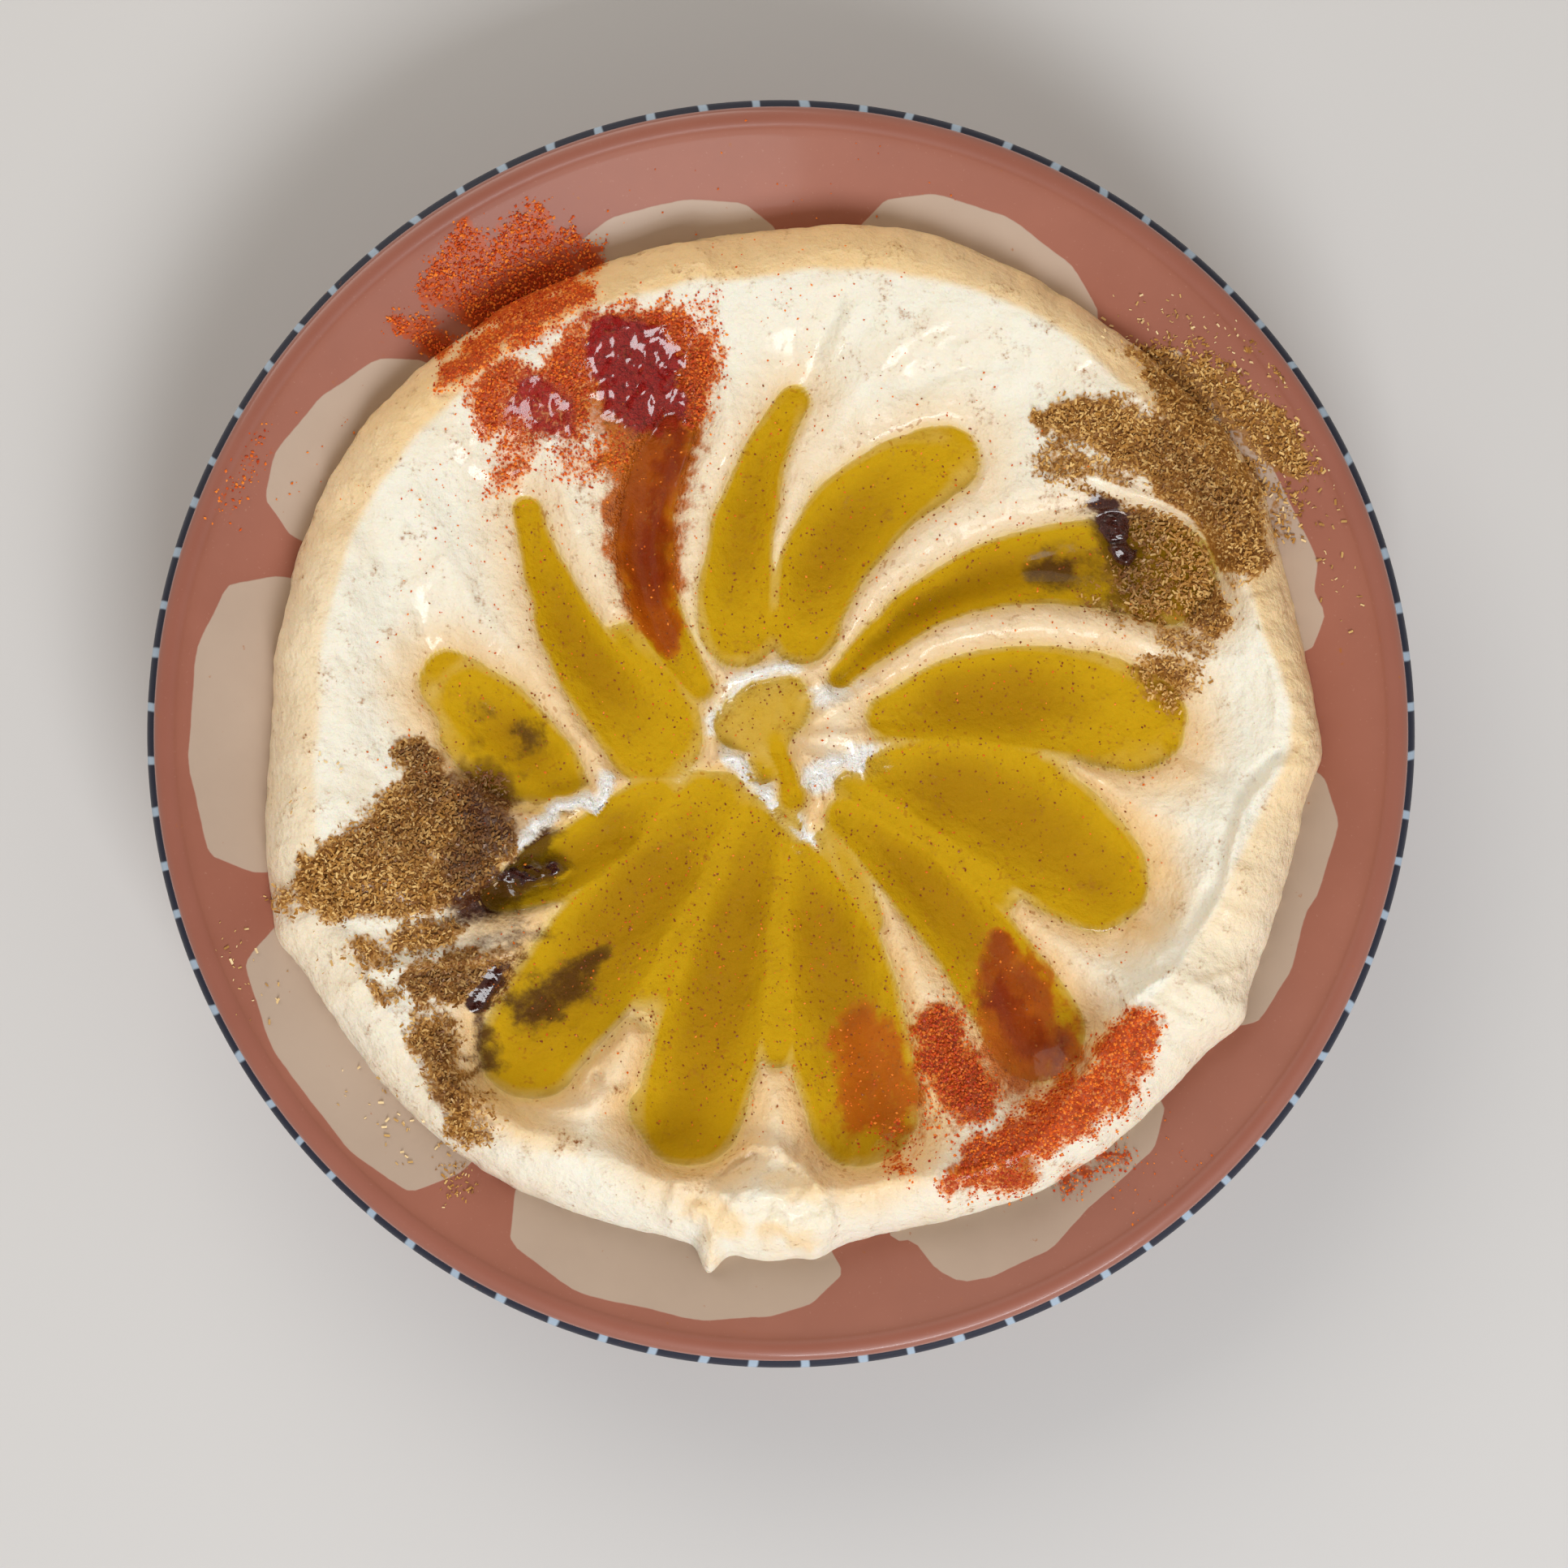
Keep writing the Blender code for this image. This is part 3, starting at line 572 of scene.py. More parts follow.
def hummus_z(x, y):
    """Height of the hummus inside its crest, and how far each point is from a shore."""
    angle = np.arctan2(y, x)
    shore, depth = furrow_fields(*wobbled(x, y, SHORE_WOBBLE))
    to_crest = np.clip(crest_radius(angle) - np.hypot(x, y), 0, None)
    above = np.clip(shore, 0, None)
    climb = above / (above + to_crest + 1e-6)
    levelling = 0.15 * np.clip((climb - 0.7) / 0.3, 0, 1) ** 2
    slope = 0.45 * (climb - levelling) + 0.55 * climb**2 * (3 - 2 * climb)
    ridge = RIDGE_RISE * (1 - np.exp(-above / RIDGE_REACH))
    ridge = ridge * np.clip(to_crest / RIDGE_FADE, 0, 1) * (1 - climb)
    rise = (crest_z(angle) - OIL_LEVEL) * slope + ridge
    height = OIL_LEVEL + np.where(shore > 0, rise, 0) - depth
    dry = step(0, 2 * MM, shore)
    height = height + folds(x, y) * (0.35 + 0.65 * dry)
    height = lap(x, y, height)
    height = height + rough(x, y, 5 * MM, 3) * 0.42 * MM * (0.25 + 0.75 * dry)
    height = height + rough(x, y, 1.7 * MM, 4) * 0.15 * MM * (0.3 + 0.7 * dry)
    swirl_x, swirl_y = x - SWIRL[0], y - SWIRL[1]
    reach = np.hypot(swirl_x, swirl_y)
    twist, swell = np.arctan2(swirl_y, swirl_x) + reach * 9, 1 + reach * 1.5
    streak_x, streak_y = np.cos(twist) * swell, np.sin(twist) * swell
    fine = noise(streak_x, streak_y, 0.045, 21)
    height = height + fine * 0.12 * MM * step(6 * MM, 20 * MM, reach)
    broad = noise(streak_x, streak_y, 0.17, 22)
    height = height + broad * 0.8 * MM * step(14 * MM, 36 * MM, reach) * dry
    return height, shore


def lap(x, y, height):
    """Adds the fold that laps over the furrow: high at its edge, sinking back behind it."""
    behind, along = wave_side(x, y)
    ends = step(0.0, 0.25, along) * (1 - 0.35 * step(0.7, 1.0, along))
    top = OIL_LEVEL + (1.3 + 6.0 * ends * (1 - 0.75 * step(0.2, 0.6, along))) * MM
    reach = (14 - 10.5 * step(0.38, 0.6, along)) * MM
    back = step(1.0, 0.1, behind / reach) * step(-0.3 * MM, 0.3 * MM, behind)
    lip = np.exp(-(((behind - 1.0 * MM) / (1.1 * MM)) ** 2)) * (0.9 + rough(x, y, 1.5 * MM, 43)) * ends * MM
    raised = height + np.clip(top - height, 0, None) * back + lip * back
    return np.where((behind > -1 * MM) & (behind < 14 * MM), raised, height)


# ---- Spices as fields ----
def dusting(x, y, patches, soft=1.0):
    """How thickly a spice lies, from 0 to 1, thinning out raggedly over this many mm."""
    total = np.zeros(x.shape)
    wx, wy = wobbled(x, y, SPICE_WOBBLE)
    clumps = rough(x, y, 1.5 * MM, 53) * 0.6
    for points, amount in patches:
        mean = sum(p[2] for p in points) / len(points)
        inside = (1 - along_points(wx, wy, points)) * mean
        share = step(-1.2 * soft * MM, 0.9 * soft * MM, inside * MM + clumps * soft * MM)
        total = np.maximum(total, amount * share)
    if patches is CUMIN:
        total = total * step(0.6, 1.5, along_points(x, y, BARE_LINE))
    return total


def oil_surface_z(shore):
    """The oil's level, drawn up a little where it meets the hummus."""
    return OIL_LEVEL + 0.07 * MM * np.exp(np.minimum(shore, 0) / (0.35 * MM)) - 0.5 * np.maximum(shore, 0)


# ---- Meshes ----
def widened(x, y, z):
    """The plan is drawn at the lip's height, and what lies lower reaches a little farther out."""
    share = (VIEW_HEIGHT - z) / (VIEW_HEIGHT - PLAN_Z)
    return VIEW_CENTRE[0] + (x - VIEW_CENTRE[0]) * share, VIEW_CENTRE[1] + (y - VIEW_CENTRE[1]) * share


def mesh_object(name, points, faces):
    mesh = bpy.data.meshes.new(name)
    points = np.asarray(points, np.float32)
    sizes = np.array([len(f) for f in faces], np.int32)
    corners = np.concatenate([np.asarray(f, np.int32) for f in faces])
    mesh.vertices.add(len(points))
    mesh.vertices.foreach_set("co", points.ravel())
    mesh.loops.add(int(sizes.sum()))
    mesh.loops.foreach_set("vertex_index", corners)
    mesh.polygons.add(len(sizes))
    starts = np.concatenate([[0], np.cumsum(sizes)[:-1]]).astype(np.int32)
    mesh.polygons.foreach_set("loop_start", starts)
    mesh.polygons.foreach_set("loop_total", sizes)
    mesh.update(calc_edges=True)
    mesh.validate()
    mesh.polygons.foreach_set("use_smooth", np.ones(len(mesh.polygons), bool))
    return linked(name, mesh)


def linked(name, data):
    obj = bpy.data.objects.new(name, data)
    bpy.context.scene.collection.objects.link(obj)
    return obj


def add_attribute(obj, name, values):
    layer = obj.data.attributes.new(name, "FLOAT", "POINT")
    layer.data.foreach_set("value", np.asarray(values, np.float32).ravel())


def ring_angles(level):
    count = max(8 * level, 1)
    return np.arange(count) * math.tau / count


def polar(radius, angle):
    return radius * np.cos(angle), radius * np.sin(angle)


def faces_between(inner, inner_count, outer, outer_count):
    faces = []
    if inner_count == outer_count:
        i = np.arange(inner_count)
        j = (i + 1) % inner_count
        return list(np.stack([inner + i, outer + i, outer + j, inner + j], 1))
    if inner_count == 1:
        return [(inner, outer + i, outer + (i + 1) % outer_count) for i in range(outer_count)]
    side_in, side_out = inner_count // 8, outer_count // 8
    for side in range(8):
        for i in range(side_out):
            a = outer + side * side_out + i
            b = outer + (side * side_out + i + 1) % outer_count
            c = inner + (side * side_in + min(i, side_in)) % inner_count
            d = inner + (side * side_in + i + 1) % inner_count
            faces.append((a, b, c) if i == side_in else (a, b, d, c))
    return faces


def inside_z(radius):
    """Height of the bowl's inside at a radius from its axis."""
    share = np.clip((np.asarray(radius) - FLOOR_RADIUS) / (WALL_TOP_RADIUS - FLOOR_RADIUS), 0, None)
    return FLOOR_Z + (RIM_Z - 1.0 * MM - FLOOR_Z) * share**WALL_CURVE


def shoulder_bulge(angle, share):
    """The outer slope's own lumps, none at its top and foot."""
    x, y = np.cos(angle) * 85 * MM, np.sin(angle) * 85 * MM
    lumps = rough(x + share * 6 * MM, y, 11 * MM, 61) * 0.9 + rough(x + share * 4 * MM, y, 3 * MM, 62) * 0.3
    return lumps * MM * np.sin(math.pi * share) ** 0.5


def hummus_rings():
    """Rings of points from the middle of the top, over the crest and down under the foot, with their shores."""
    rings, shores = [], []
    for level in range(TOP_LEVELS + 1):
        angles = ring_angles(level)
        x, y = polar(crest_radius(angles) * (level / TOP_LEVELS), angles)
        z, shore = hummus_z(x, y)
        rings.append(np.stack([x, y, z], 1))
        shores.append(shore)
    angles = ring_angles(TOP_LEVELS)
    inner = crest_radius(angles)
    outer = np.maximum(mound_radius(angles), inner + LEAST_SHOULDER)
    top = rings[-1][:, 2]
    foot = inside_z(outer) + 0.2 * MM
    for k in range(1, SHOULDER_RINGS + 1):
        share = k / SHOULDER_RINGS
        turn = math.pi / 2 * share
        bulge = shoulder_bulge(angles, share)
        radius = inner + (outer - inner) * math.sin(turn) ** SHOULDER_OUT + bulge
        height = foot + (top - foot) * math.cos(turn) ** SHOULDER_DOWN
        x, y = polar(radius, angles)
        rim = np.exp(-((share * 4) ** 2))
        height = height + folds(x, y) * (1 - share) ** 0.5 * (1 - rim)
        rings.append(np.stack([x, y, height], 1))
        shores.append(shores[TOP_LEVELS] + (radius - inner))
    for share in BURIED_RINGS:
        radius = outer * share
        rings.append(np.stack([*polar(radius, angles), inside_z(radius) - BURIED], 1))
        shores.append(np.full(radius.shape, HIDDEN))
    rings.append(np.array([[0.0, 0.0, FLOOR_Z - BURIED]]))
    shores.append(np.array([HIDDEN]))
    return rings, shores


def hummus_faces(rings):
    starts = np.cumsum([0] + [len(r) for r in rings])
    faces = []
    for k in range(len(rings) - 2):
        faces += faces_between(starts[k], len(rings[k]), starts[k + 1], len(rings[k + 1]))
    last, count = starts[-3], len(rings[-2])
    return faces + [(last + (i + 1) % count, last + i, starts[-2]) for i in range(count)]


def make_hummus():
    """The mound, with crusts of spice, crumbled lips, dollops and wet lumps raised on it, and its own fields."""
    rings, shores = hummus_rings()
    points = np.concatenate(rings)
    shore = np.concatenate(shores)
    x, y = points[:, 0], points[:, 1]
    piled = (dusting(x, y, PAPRIKA) * 0.25 + dusting(x, y, CUMIN) * 0.5) * MM
    core = dusting(x, y, CORES, 1.5)
    piled = piled * (0.6 + 0.4 * rough(x, y, 1.2 * MM, 71)) + core * (0.5 + 0.5 * rough(x, y, 1.8 * MM, 72)) * MM
    points[:, 2] += piled * (points[:, 2] > inside_z(np.hypot(x, y)))
    behind, along = wave_side(x, y)
    # The fold's lip and the WHITE places, which are raised, glossed and painted whitest, partly as painted light.
    bright = step(1.7 * MM, 0.7 * MM, np.abs(behind - 0.9 * MM)) * step(0.3, 0.42, along)
    bright = np.maximum(bright, dusting(x, y, WHITE, 1.2))
    # Painted shade: a dark band just in front of the lapping fold's edge, where the overhanging fold shades the dark
    # paste under it; it is laid into the wet cumin.
    below = step(-4.2 * MM, -2.2 * MM, behind) * step(0.1 * MM, -0.1 * MM, behind)
    below = below * step(0.12, 0.25, along) * step(0.62, 0.45, along)
    points[:, 2] += bright * (0.5 + 1.2 * rough(x, y, 1.7 * MM, 73)) * 0.55 * MM * (shore > 0)
    angle, radius = np.arctan2(y, x), np.hypot(x, y)
    outer_slope = step(0.0, 5 * MM, radius - crest_radius(angle))
    # Painted shade: the outer slope is tan where it faces away from the light, by angle; the browned spots are added
    # to it below.
    shade_and_browning = step(-0.6 * MM, 1.2 * MM, radius - crest_radius(angle)) * round_the_ring(SHADED_SLOPE_SHARE, angle)
    dollop = dusting(x, y, DOLLOPS, 2.5)
    swollen = 0.9 * rough(x, y, 4.5 * MM, 75) + 0.45 * rough(x, y, 1.9 * MM, 76) + 0.5
    points[:, 2] += dollop * swollen * 1.5 * MM * (points[:, 2] > inside_z(np.hypot(x, y)) + 1 * MM)
    shade_and_browning = np.maximum(shade_and_browning, dusting(x, y, BROWNED, 1.6) * 0.8)
    lump = dusting(x, y, LUMPS, 0.9)
    top = OIL_LEVEL + (0.9 + 0.9 * rough(x, y, 1.3 * MM, 74)) * MM
    points[:, 2] += lump * np.clip(top - points[:, 2], 0, None)
    points[:, 0], points[:, 1] = widened(x, y, points[:, 2])
    hummus = mesh_object("hummus_swirl", points, hummus_faces(rings))
    fields = {
        "oil_depth": np.clip(OIL_LEVEL - points[:, 2], 0, None) / MM * (outer_slope < 0.01),
        "shore": shore / MM,
        "bright": bright,
        "shade_and_browning": np.clip(shade_and_browning, 0, 1),
        "paprika": dusting(x, y, PAPRIKA, 2.2),
        "core": core,
        "red_oil": dusting(x, y, RED_OIL, 3.0),
        "cumin": dusting(x, y, CUMIN, 2.4),
        "darkened": dusting(x, y, DARKENED, 3.5),
        "wet_cumin_and_shadow": np.maximum(dusting(x, y, WET_CUMIN, 2.2), np.maximum(below, lump)),
        "lump": lump,
    }
    for name, values in fields.items():
        add_attribute(hummus, name, values)
    hummus.data.materials.append(hummus_finish())
    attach(hummus, "root")
    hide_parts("hummus")


def make_oil():
    """The level oil, run just past its shores into the hummus."""
    half = int(OIL_REACH / OIL_GRID)
    line = np.arange(-half, half + 1) * OIL_GRID
    x, y = np.meshgrid(line, line)
    shore, _ = furrow_fields(*wobbled(x, y, SHORE_WOBBLE))
    wet = (shore < OIL_OVERLAP) & (np.hypot(x, y) < OIL_REACH)
    cells = wet[:-1, :-1] & wet[1:, :-1] & wet[:-1, 1:] & wet[1:, 1:]
    row, column = np.nonzero(cells)
    width = x.shape[1]
    a = row * width + column
    quads = np.stack([a, a + 1, a + width + 1, a + width], 1)
    used, quads = np.unique(quads, return_inverse=True)
    quads = quads.reshape(-1, 4)
    z = oil_surface_z(shore)
    x, y, z = x.ravel()[used], y.ravel()[used], z.ravel()[used]
    oil = mesh_object("olive_oil", np.stack([*widened(x, y, z), z], 1), list(quads))
    add_attribute(oil, "red_oil", dusting(x, y, RED_OIL, 3.0))
    add_attribute(oil, "wet_cumin_and_shadow", dusting(x, y, WET_CUMIN, 2.0) * 0.7)
    oil.data.materials.append(oil_finish())
    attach(oil, "root")
    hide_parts(*OIL_NODES)


# ---- Shaders ----
class Sum:
    """A shader value that Python's own operators work on."""

    def __init__(self, tree, socket):
        self.tree, self.socket = tree, socket

    def __add__(self, other):
        return maths("ADD", self, other)

    def __sub__(self, other):
        return maths("SUBTRACT", self, other)

    def __rsub__(self, other):
        return maths("SUBTRACT", other, self)

    def __mul__(self, other):
        return maths("MULTIPLY", self, other)

    __radd__, __rmul__ = __add__, __mul__

    def kept(self):
        """Held between 0 and 1."""
        return maths("ADD", self, 0.0, clamp=True)

    def over(self, low, high):
        """0 below low, 1 above high, and smooth between."""
        entries = {"Value": self, "From Min": low, "From Max": high}
        node = add_node(self.tree, "ShaderNodeMapRange", {"interpolation_type": "SMOOTHSTEP"}, entries)
        return Sum(self.tree, node.outputs["Result"])


def maths(operation, *values, clamp=False):
    tree = next(value.tree for value in values if isinstance(value, Sum))
    settings = {"operation": operation, "use_clamp": clamp}
    return Sum(tree, add_node(tree, "ShaderNodeMath", settings, dict(enumerate(values))).outputs[0])


def add_node(tree, kind, settings=None, entries=None):
    """A node with its settings first, then the values or links of its sockets, by name or number."""
    node = tree.nodes.new(kind)
    for key, value in (settings or {}).items():
        setattr(node, key, value)
    for key, value in (entries or {}).items():
        plug(tree, value, node.inputs[key])
    return node


def plug(tree, value, entry):
    if isinstance(value, Sum):
        tree.links.new(value.socket, entry)
    elif isinstance(value, bpy.types.NodeSocket):
        tree.links.new(value, entry)
    elif isinstance(value, tuple) and len(value) == 3 and entry.type == "RGBA":
        entry.default_value = (*value, 1.0)
    else:
        entry.default_value = value


class Finish:
    """A material under construction."""

    def __init__(self, name, **fixed):
        self.material = bpy.data.materials.new(name)
        self.material.use_nodes = True
        self.tree = self.material.node_tree
        self.shader = self.tree.nodes["Principled BSDF"]
        for socket, value in fixed.items():
            self.set(socket.replace("_", " ").title().replace("Ior", "IOR"), value)

    def set(self, socket, value):
        plug(self.tree, value, self.shader.inputs[socket])

    def place(self):
        return add_node(self.tree, "ShaderNodeTexCoord").outputs["Object"]

    def plan(self):
        """The place's own x and y."""
        node = add_node(self.tree, "ShaderNodeSeparateXYZ", None, {0: self.place()})
        return Sum(self.tree, node.outputs[0]), Sum(self.tree, node.outputs[1])

    def attribute(self, name):
        return Sum(self.tree, add_node(self.tree, "ShaderNodeAttribute", {"attribute_name": name}).outputs["Fac"])

    def noise(self, scale, detail=3.0):
        """Noise about its middle, so that it averages to nothing."""
        entries = {"Vector": self.place(), "Scale": scale, "Detail": detail, "Roughness": NOISE_ROUGHNESS}
        return Sum(self.tree, add_node(self.tree, "ShaderNodeTexNoise", None, entries).outputs[0]) - 0.5

    def blend(self, share, first, second):
        entries = {"Factor": share, 6: first, 7: second}
        return add_node(self.tree, "ShaderNodeMix", {"data_type": "RGBA"}, entries).outputs[2]

    def bump(self, height, distance):
        entries = {"Strength": 1.0, "Distance": distance, "Height": height}
        self.set("Normal", add_node(self.tree, "ShaderNodeBump", None, entries).outputs["Normal"])


NOISE_ROUGHNESS = 0.55

CREAM = (0.88, 0.84, 0.71)
# Near white for dry hummus with painted light on it.
WHITEST_DRY_AND_LIT = (0.96, 0.94, 0.90)
# Peach for hummus soaked with oil, and for painted warm shade.
SOAKED_AND_SHADED_PEACH = (0.84, 0.57, 0.27)
# Tan for the painted shade on the outer slope, and for the browned spots.
SHADE_AND_BROWNING_TAN = (0.90, 0.61, 0.26)
THIN_OIL = (0.80, 0.60, 0.20)
OILY = (0.66, 0.41, 0.004)
DEEP_OIL = (0.40, 0.195, 0.0005)
PAPRIKA_RED = (0.50, 0.050, 0.004)
PAPRIKA_STAIN = (0.78, 0.24, 0.012)
CRIMSON = (0.42, 0.012, 0.014)
RED_OIL_THIN = (0.56, 0.13, 0.002)
RED_OIL_DEEP = (0.22, 0.022, 0.001)
CUMIN_BROWN = (0.24, 0.085, 0.012)
# Dark wet brown for wet cumin, and for the painted shade under the lapping fold.
WET_BROWN_AND_SHADOW = (0.075, 0.018, 0.005)
CUMIN_STAIN = (0.50, 0.235, 0.04)
SPECK_BROWN = (0.42, 0.14, 0.01)
OILED_CUMIN = (0.11, 0.035, 0.008)
WET_LUMP = (0.070, 0.014, 0.008)
POOL_GOLD = (0.62, 0.36, 0.001)
POOL_RED = (0.42, 0.06, 0.001)
POOL_BROWN = (0.10, 0.03, 0.003)


def hummus_finish():
    f = Finish("hummus", roughness=0.45, specular_ior_level=0.2)
    shore, depth, bright = f.attribute("shore"), f.attribute("oil_depth"), f.attribute("bright")
    coarse, fine, patchy = f.noise(260, 4), f.noise(1500, 3), f.noise(70, 4)
    # Painted shade: the soaked peach is full on the near half, where the slopes face away from the light, and half
    # as strong on the far half.
    near = 1 - f.plan()[1].over(-0.02, 0.05) * 0.5
    soaked = (1 - (shore + patchy * 9).over(0.5, 10.5)) * (1 - bright) * near
    colour = f.blend((patchy * 1.8 + 0.1).kept() * 0.32, CREAM, SOAKED_AND_SHADED_PEACH)
    colour = f.blend(soaked.kept(), colour, SOAKED_AND_SHADED_PEACH)
    # Painted light: the crater rim and the fold's lip are whitened beyond the cream, over dry hummus.
    colour = f.blend(bright, colour, WHITEST_DRY_AND_LIT)
    # Painted tan shade on the outer slope, together with the browned spots.
    colour = f.blend((f.attribute("shade_and_browning") + patchy * 0.3).kept() * 0.85, colour, SHADE_AND_BROWNING_TAN)
    colour = f.blend((1 - (shore + patchy * 2.5).over(0.0, 1.6)) * (1 - bright) * 0.55, colour, THIN_OIL)
    colour = f.blend((depth + coarse * 0.15).over(0.0, 0.25), colour, THIN_OIL)
    colour = f.blend((depth + patchy * 0.4).over(0.05, 0.9), colour, OILY)
    colour = f.blend((depth + patchy * 1.8 + coarse * 0.5).over(1.0, 5.0), colour, DEEP_OIL)
    specks = (f.noise(800, 1) + f.noise(90, 2) * 0.4).over(0.20, 0.24) * (1 - bright) * (1 - shore.over(1.0, 4.0))
    colour = f.blend(specks * 0.55, colour, SPECK_BROWN)
    red_oil, core = f.attribute("red_oil"), f.attribute("core")
    colour = f.blend((red_oil + coarse * 0.9 + fine * 0.5).over(0.1, 0.62) * 0.97, colour, RED_OIL_THIN)
    colour = f.blend((red_oil * 0.9 + patchy * 1.2 + depth * 0.08).over(0.55, 1.2), colour, RED_OIL_DEEP)
    paprika, cumin = f.attribute("paprika"), f.attribute("cumin")
    stain = (paprika + fine * 0.9 + coarse * 0.8).over(0.15, 0.75)
    colour = f.blend(stain * 0.85, colour, PAPRIKA_STAIN)
    grains = (paprika + fine * 2.2 + coarse * 1.2 - 0.45).over(0.1, 0.4)
    colour = f.blend(grains * 0.85, colour, PAPRIKA_RED)
    colour = f.blend((core + coarse * 0.9 + fine * 0.6).over(0.25, 0.9) * 0.95, colour, CRIMSON)
    stain = (cumin + fine * 0.9 + coarse * 0.8).over(0.08, 0.6)
    colour = f.blend(stain * 0.95, colour, CUMIN_STAIN)
    grains = (cumin + fine * 2.2 + coarse * 1.2 - 0.40).over(0.1, 0.45)
    colour = f.blend(grains * 0.85, colour, CUMIN_BROWN)
    colour = f.blend((f.attribute("darkened") + coarse).over(0.1, 1.0) * 0.75, colour, OILED_CUMIN)
    # Wet cumin, with the painted shade under the lapping fold, both in dark wet brown.
    dark = (f.attribute("wet_cumin_and_shadow") + coarse * 1.1 + fine * 0.6).over(0.05, 0.95)
    colour = f.blend(dark, colour, WET_BROWN_AND_SHADOW)
    lump = f.attribute("lump")
    colour = f.blend((lump + coarse * 0.5).over(0.3, 0.7), colour, WET_LUMP)
    f.set("Base Color", colour)
    pool = depth.over(0.0, 0.4)
    wet = (1 - (shore + patchy * 8).over(-1.0, 7.0)) * 0.6 * (1 - pool)
    wet = wet + core + red_oil * 0.8 + dark * 0.4 + bright + lump
    wet = wet + patchy.over(0.06, 0.16) * (1 - depth.over(0.0, 0.2)) * 0.5
    f.set("Roughness", 0.5 - wet.kept() * 0.28 + pool * 0.3)
    f.set("Coat Weight", wet.kept() * 0.9)
    f.set("Coat Roughness", 0.10)
    crinkles = core * 2.2 + lump * 2.0 + red_oil * (1 - pool) * 1.5 + dark * 0.5 + bright * 0.8
    crinkled = (f.noise(620, 3) + f.noise(1500, 2) * 0.5) * crinkles * 3.0
    f.bump(coarse * 0.8 + fine * 0.40 + f.noise(700, 3) * 0.7 + f.noise(130, 3) * 1.6 + crinkled, 0.5 * MM)
    f.set("Subsurface Weight", 0.25)
    f.set("Subsurface Radius", (1.0, 0.5, 0.22))
    f.set("Subsurface Scale", 2.2 * MM)
    return f.material


def oil_finish():
    f = Finish("olive_oil", roughness=0.04, specular_ior_level=0.6, coat_weight=1.0, coat_roughness=0.02, alpha=0.22)
    colour = f.blend(f.attribute("red_oil").over(0.1, 0.9), POOL_GOLD, POOL_RED)
    f.set("Base Color", f.blend(f.attribute("wet_cumin_and_shadow"), colour, POOL_BROWN))
    f.material.surface_render_method = "BLENDED"
    return f.material


# ---- The bowl ----
def bowl_profile():
    """From the middle of the inside, over the lip, down the painted wall and back in under the foot."""
    reach = [0.0, 12 * MM] + list(np.linspace(FLOOR_RADIUS, WALL_TOP_RADIUS, INSIDE_RINGS - 2))
    inside = [(r, float(inside_z(r))) for r in reach]
    middle = (WALL_TOP_RADIUS + LIP_RADIUS) / 2
    half = (LIP_RADIUS - WALL_TOP_RADIUS) / 2
    turns = np.radians(np.linspace(150, 10, LIP_RINGS))
    lip = [(middle + half * math.cos(a), RIM_Z - LIP_HEIGHT + LIP_HEIGHT * math.sin(a)) for a in turns]
    groove = [(LIP_RADIUS - 0.1 * MM, RIM_Z - 1.9 * MM), (LIP_RADIUS - 0.2 * MM, RIM_Z - 2.2 * MM)]
    wall = [
        (LIP_RADIUS + 0.5 * MM, RIM_Z - 2.5 * MM),
        (LIP_RADIUS + 1.1 * MM, RIM_Z - 3.0 * MM),
        (BELLY_RADIUS - 0.1 * MM, RIM_Z - 3.8 * MM),
        (BELLY_RADIUS, RIM_Z - 4.6 * MM),
        (BELLY_RADIUS - 0.15 * MM, RIM_Z - 6.0 * MM),
        (BELLY_RADIUS - 0.6 * MM, RIM_Z - 8.0 * MM),
    ]
    top_r, top_z = wall[-1]
    back = [
        (FOOT_RADIUS + (top_r - FOOT_RADIUS) * s, FOOT_Z + (top_z - FOOT_Z) * s**BACK_CURVE)
        for s in np.linspace(1, 0, BACK_RINGS + 1)[1:]
    ]
    foot_inside = FOOT_RADIUS - FOOT_WIDTH
    foot = [
        (FOOT_RADIUS - 0.1 * MM, 2.0 * MM),
        (FOOT_RADIUS - 0.3 * MM, 0.4 * MM),
        (FOOT_RADIUS - 0.8 * MM, 0.0),
        (foot_inside + 0.8 * MM, 0.0),
        (foot_inside + 0.2 * MM, 0.4 * MM),
        (foot_inside - 0.8 * MM, RECESS_Z),
        (20 * MM, RECESS_Z),
        (0.0, RECESS_Z),
    ]
    return inside + lip + groove + wall + back + foot


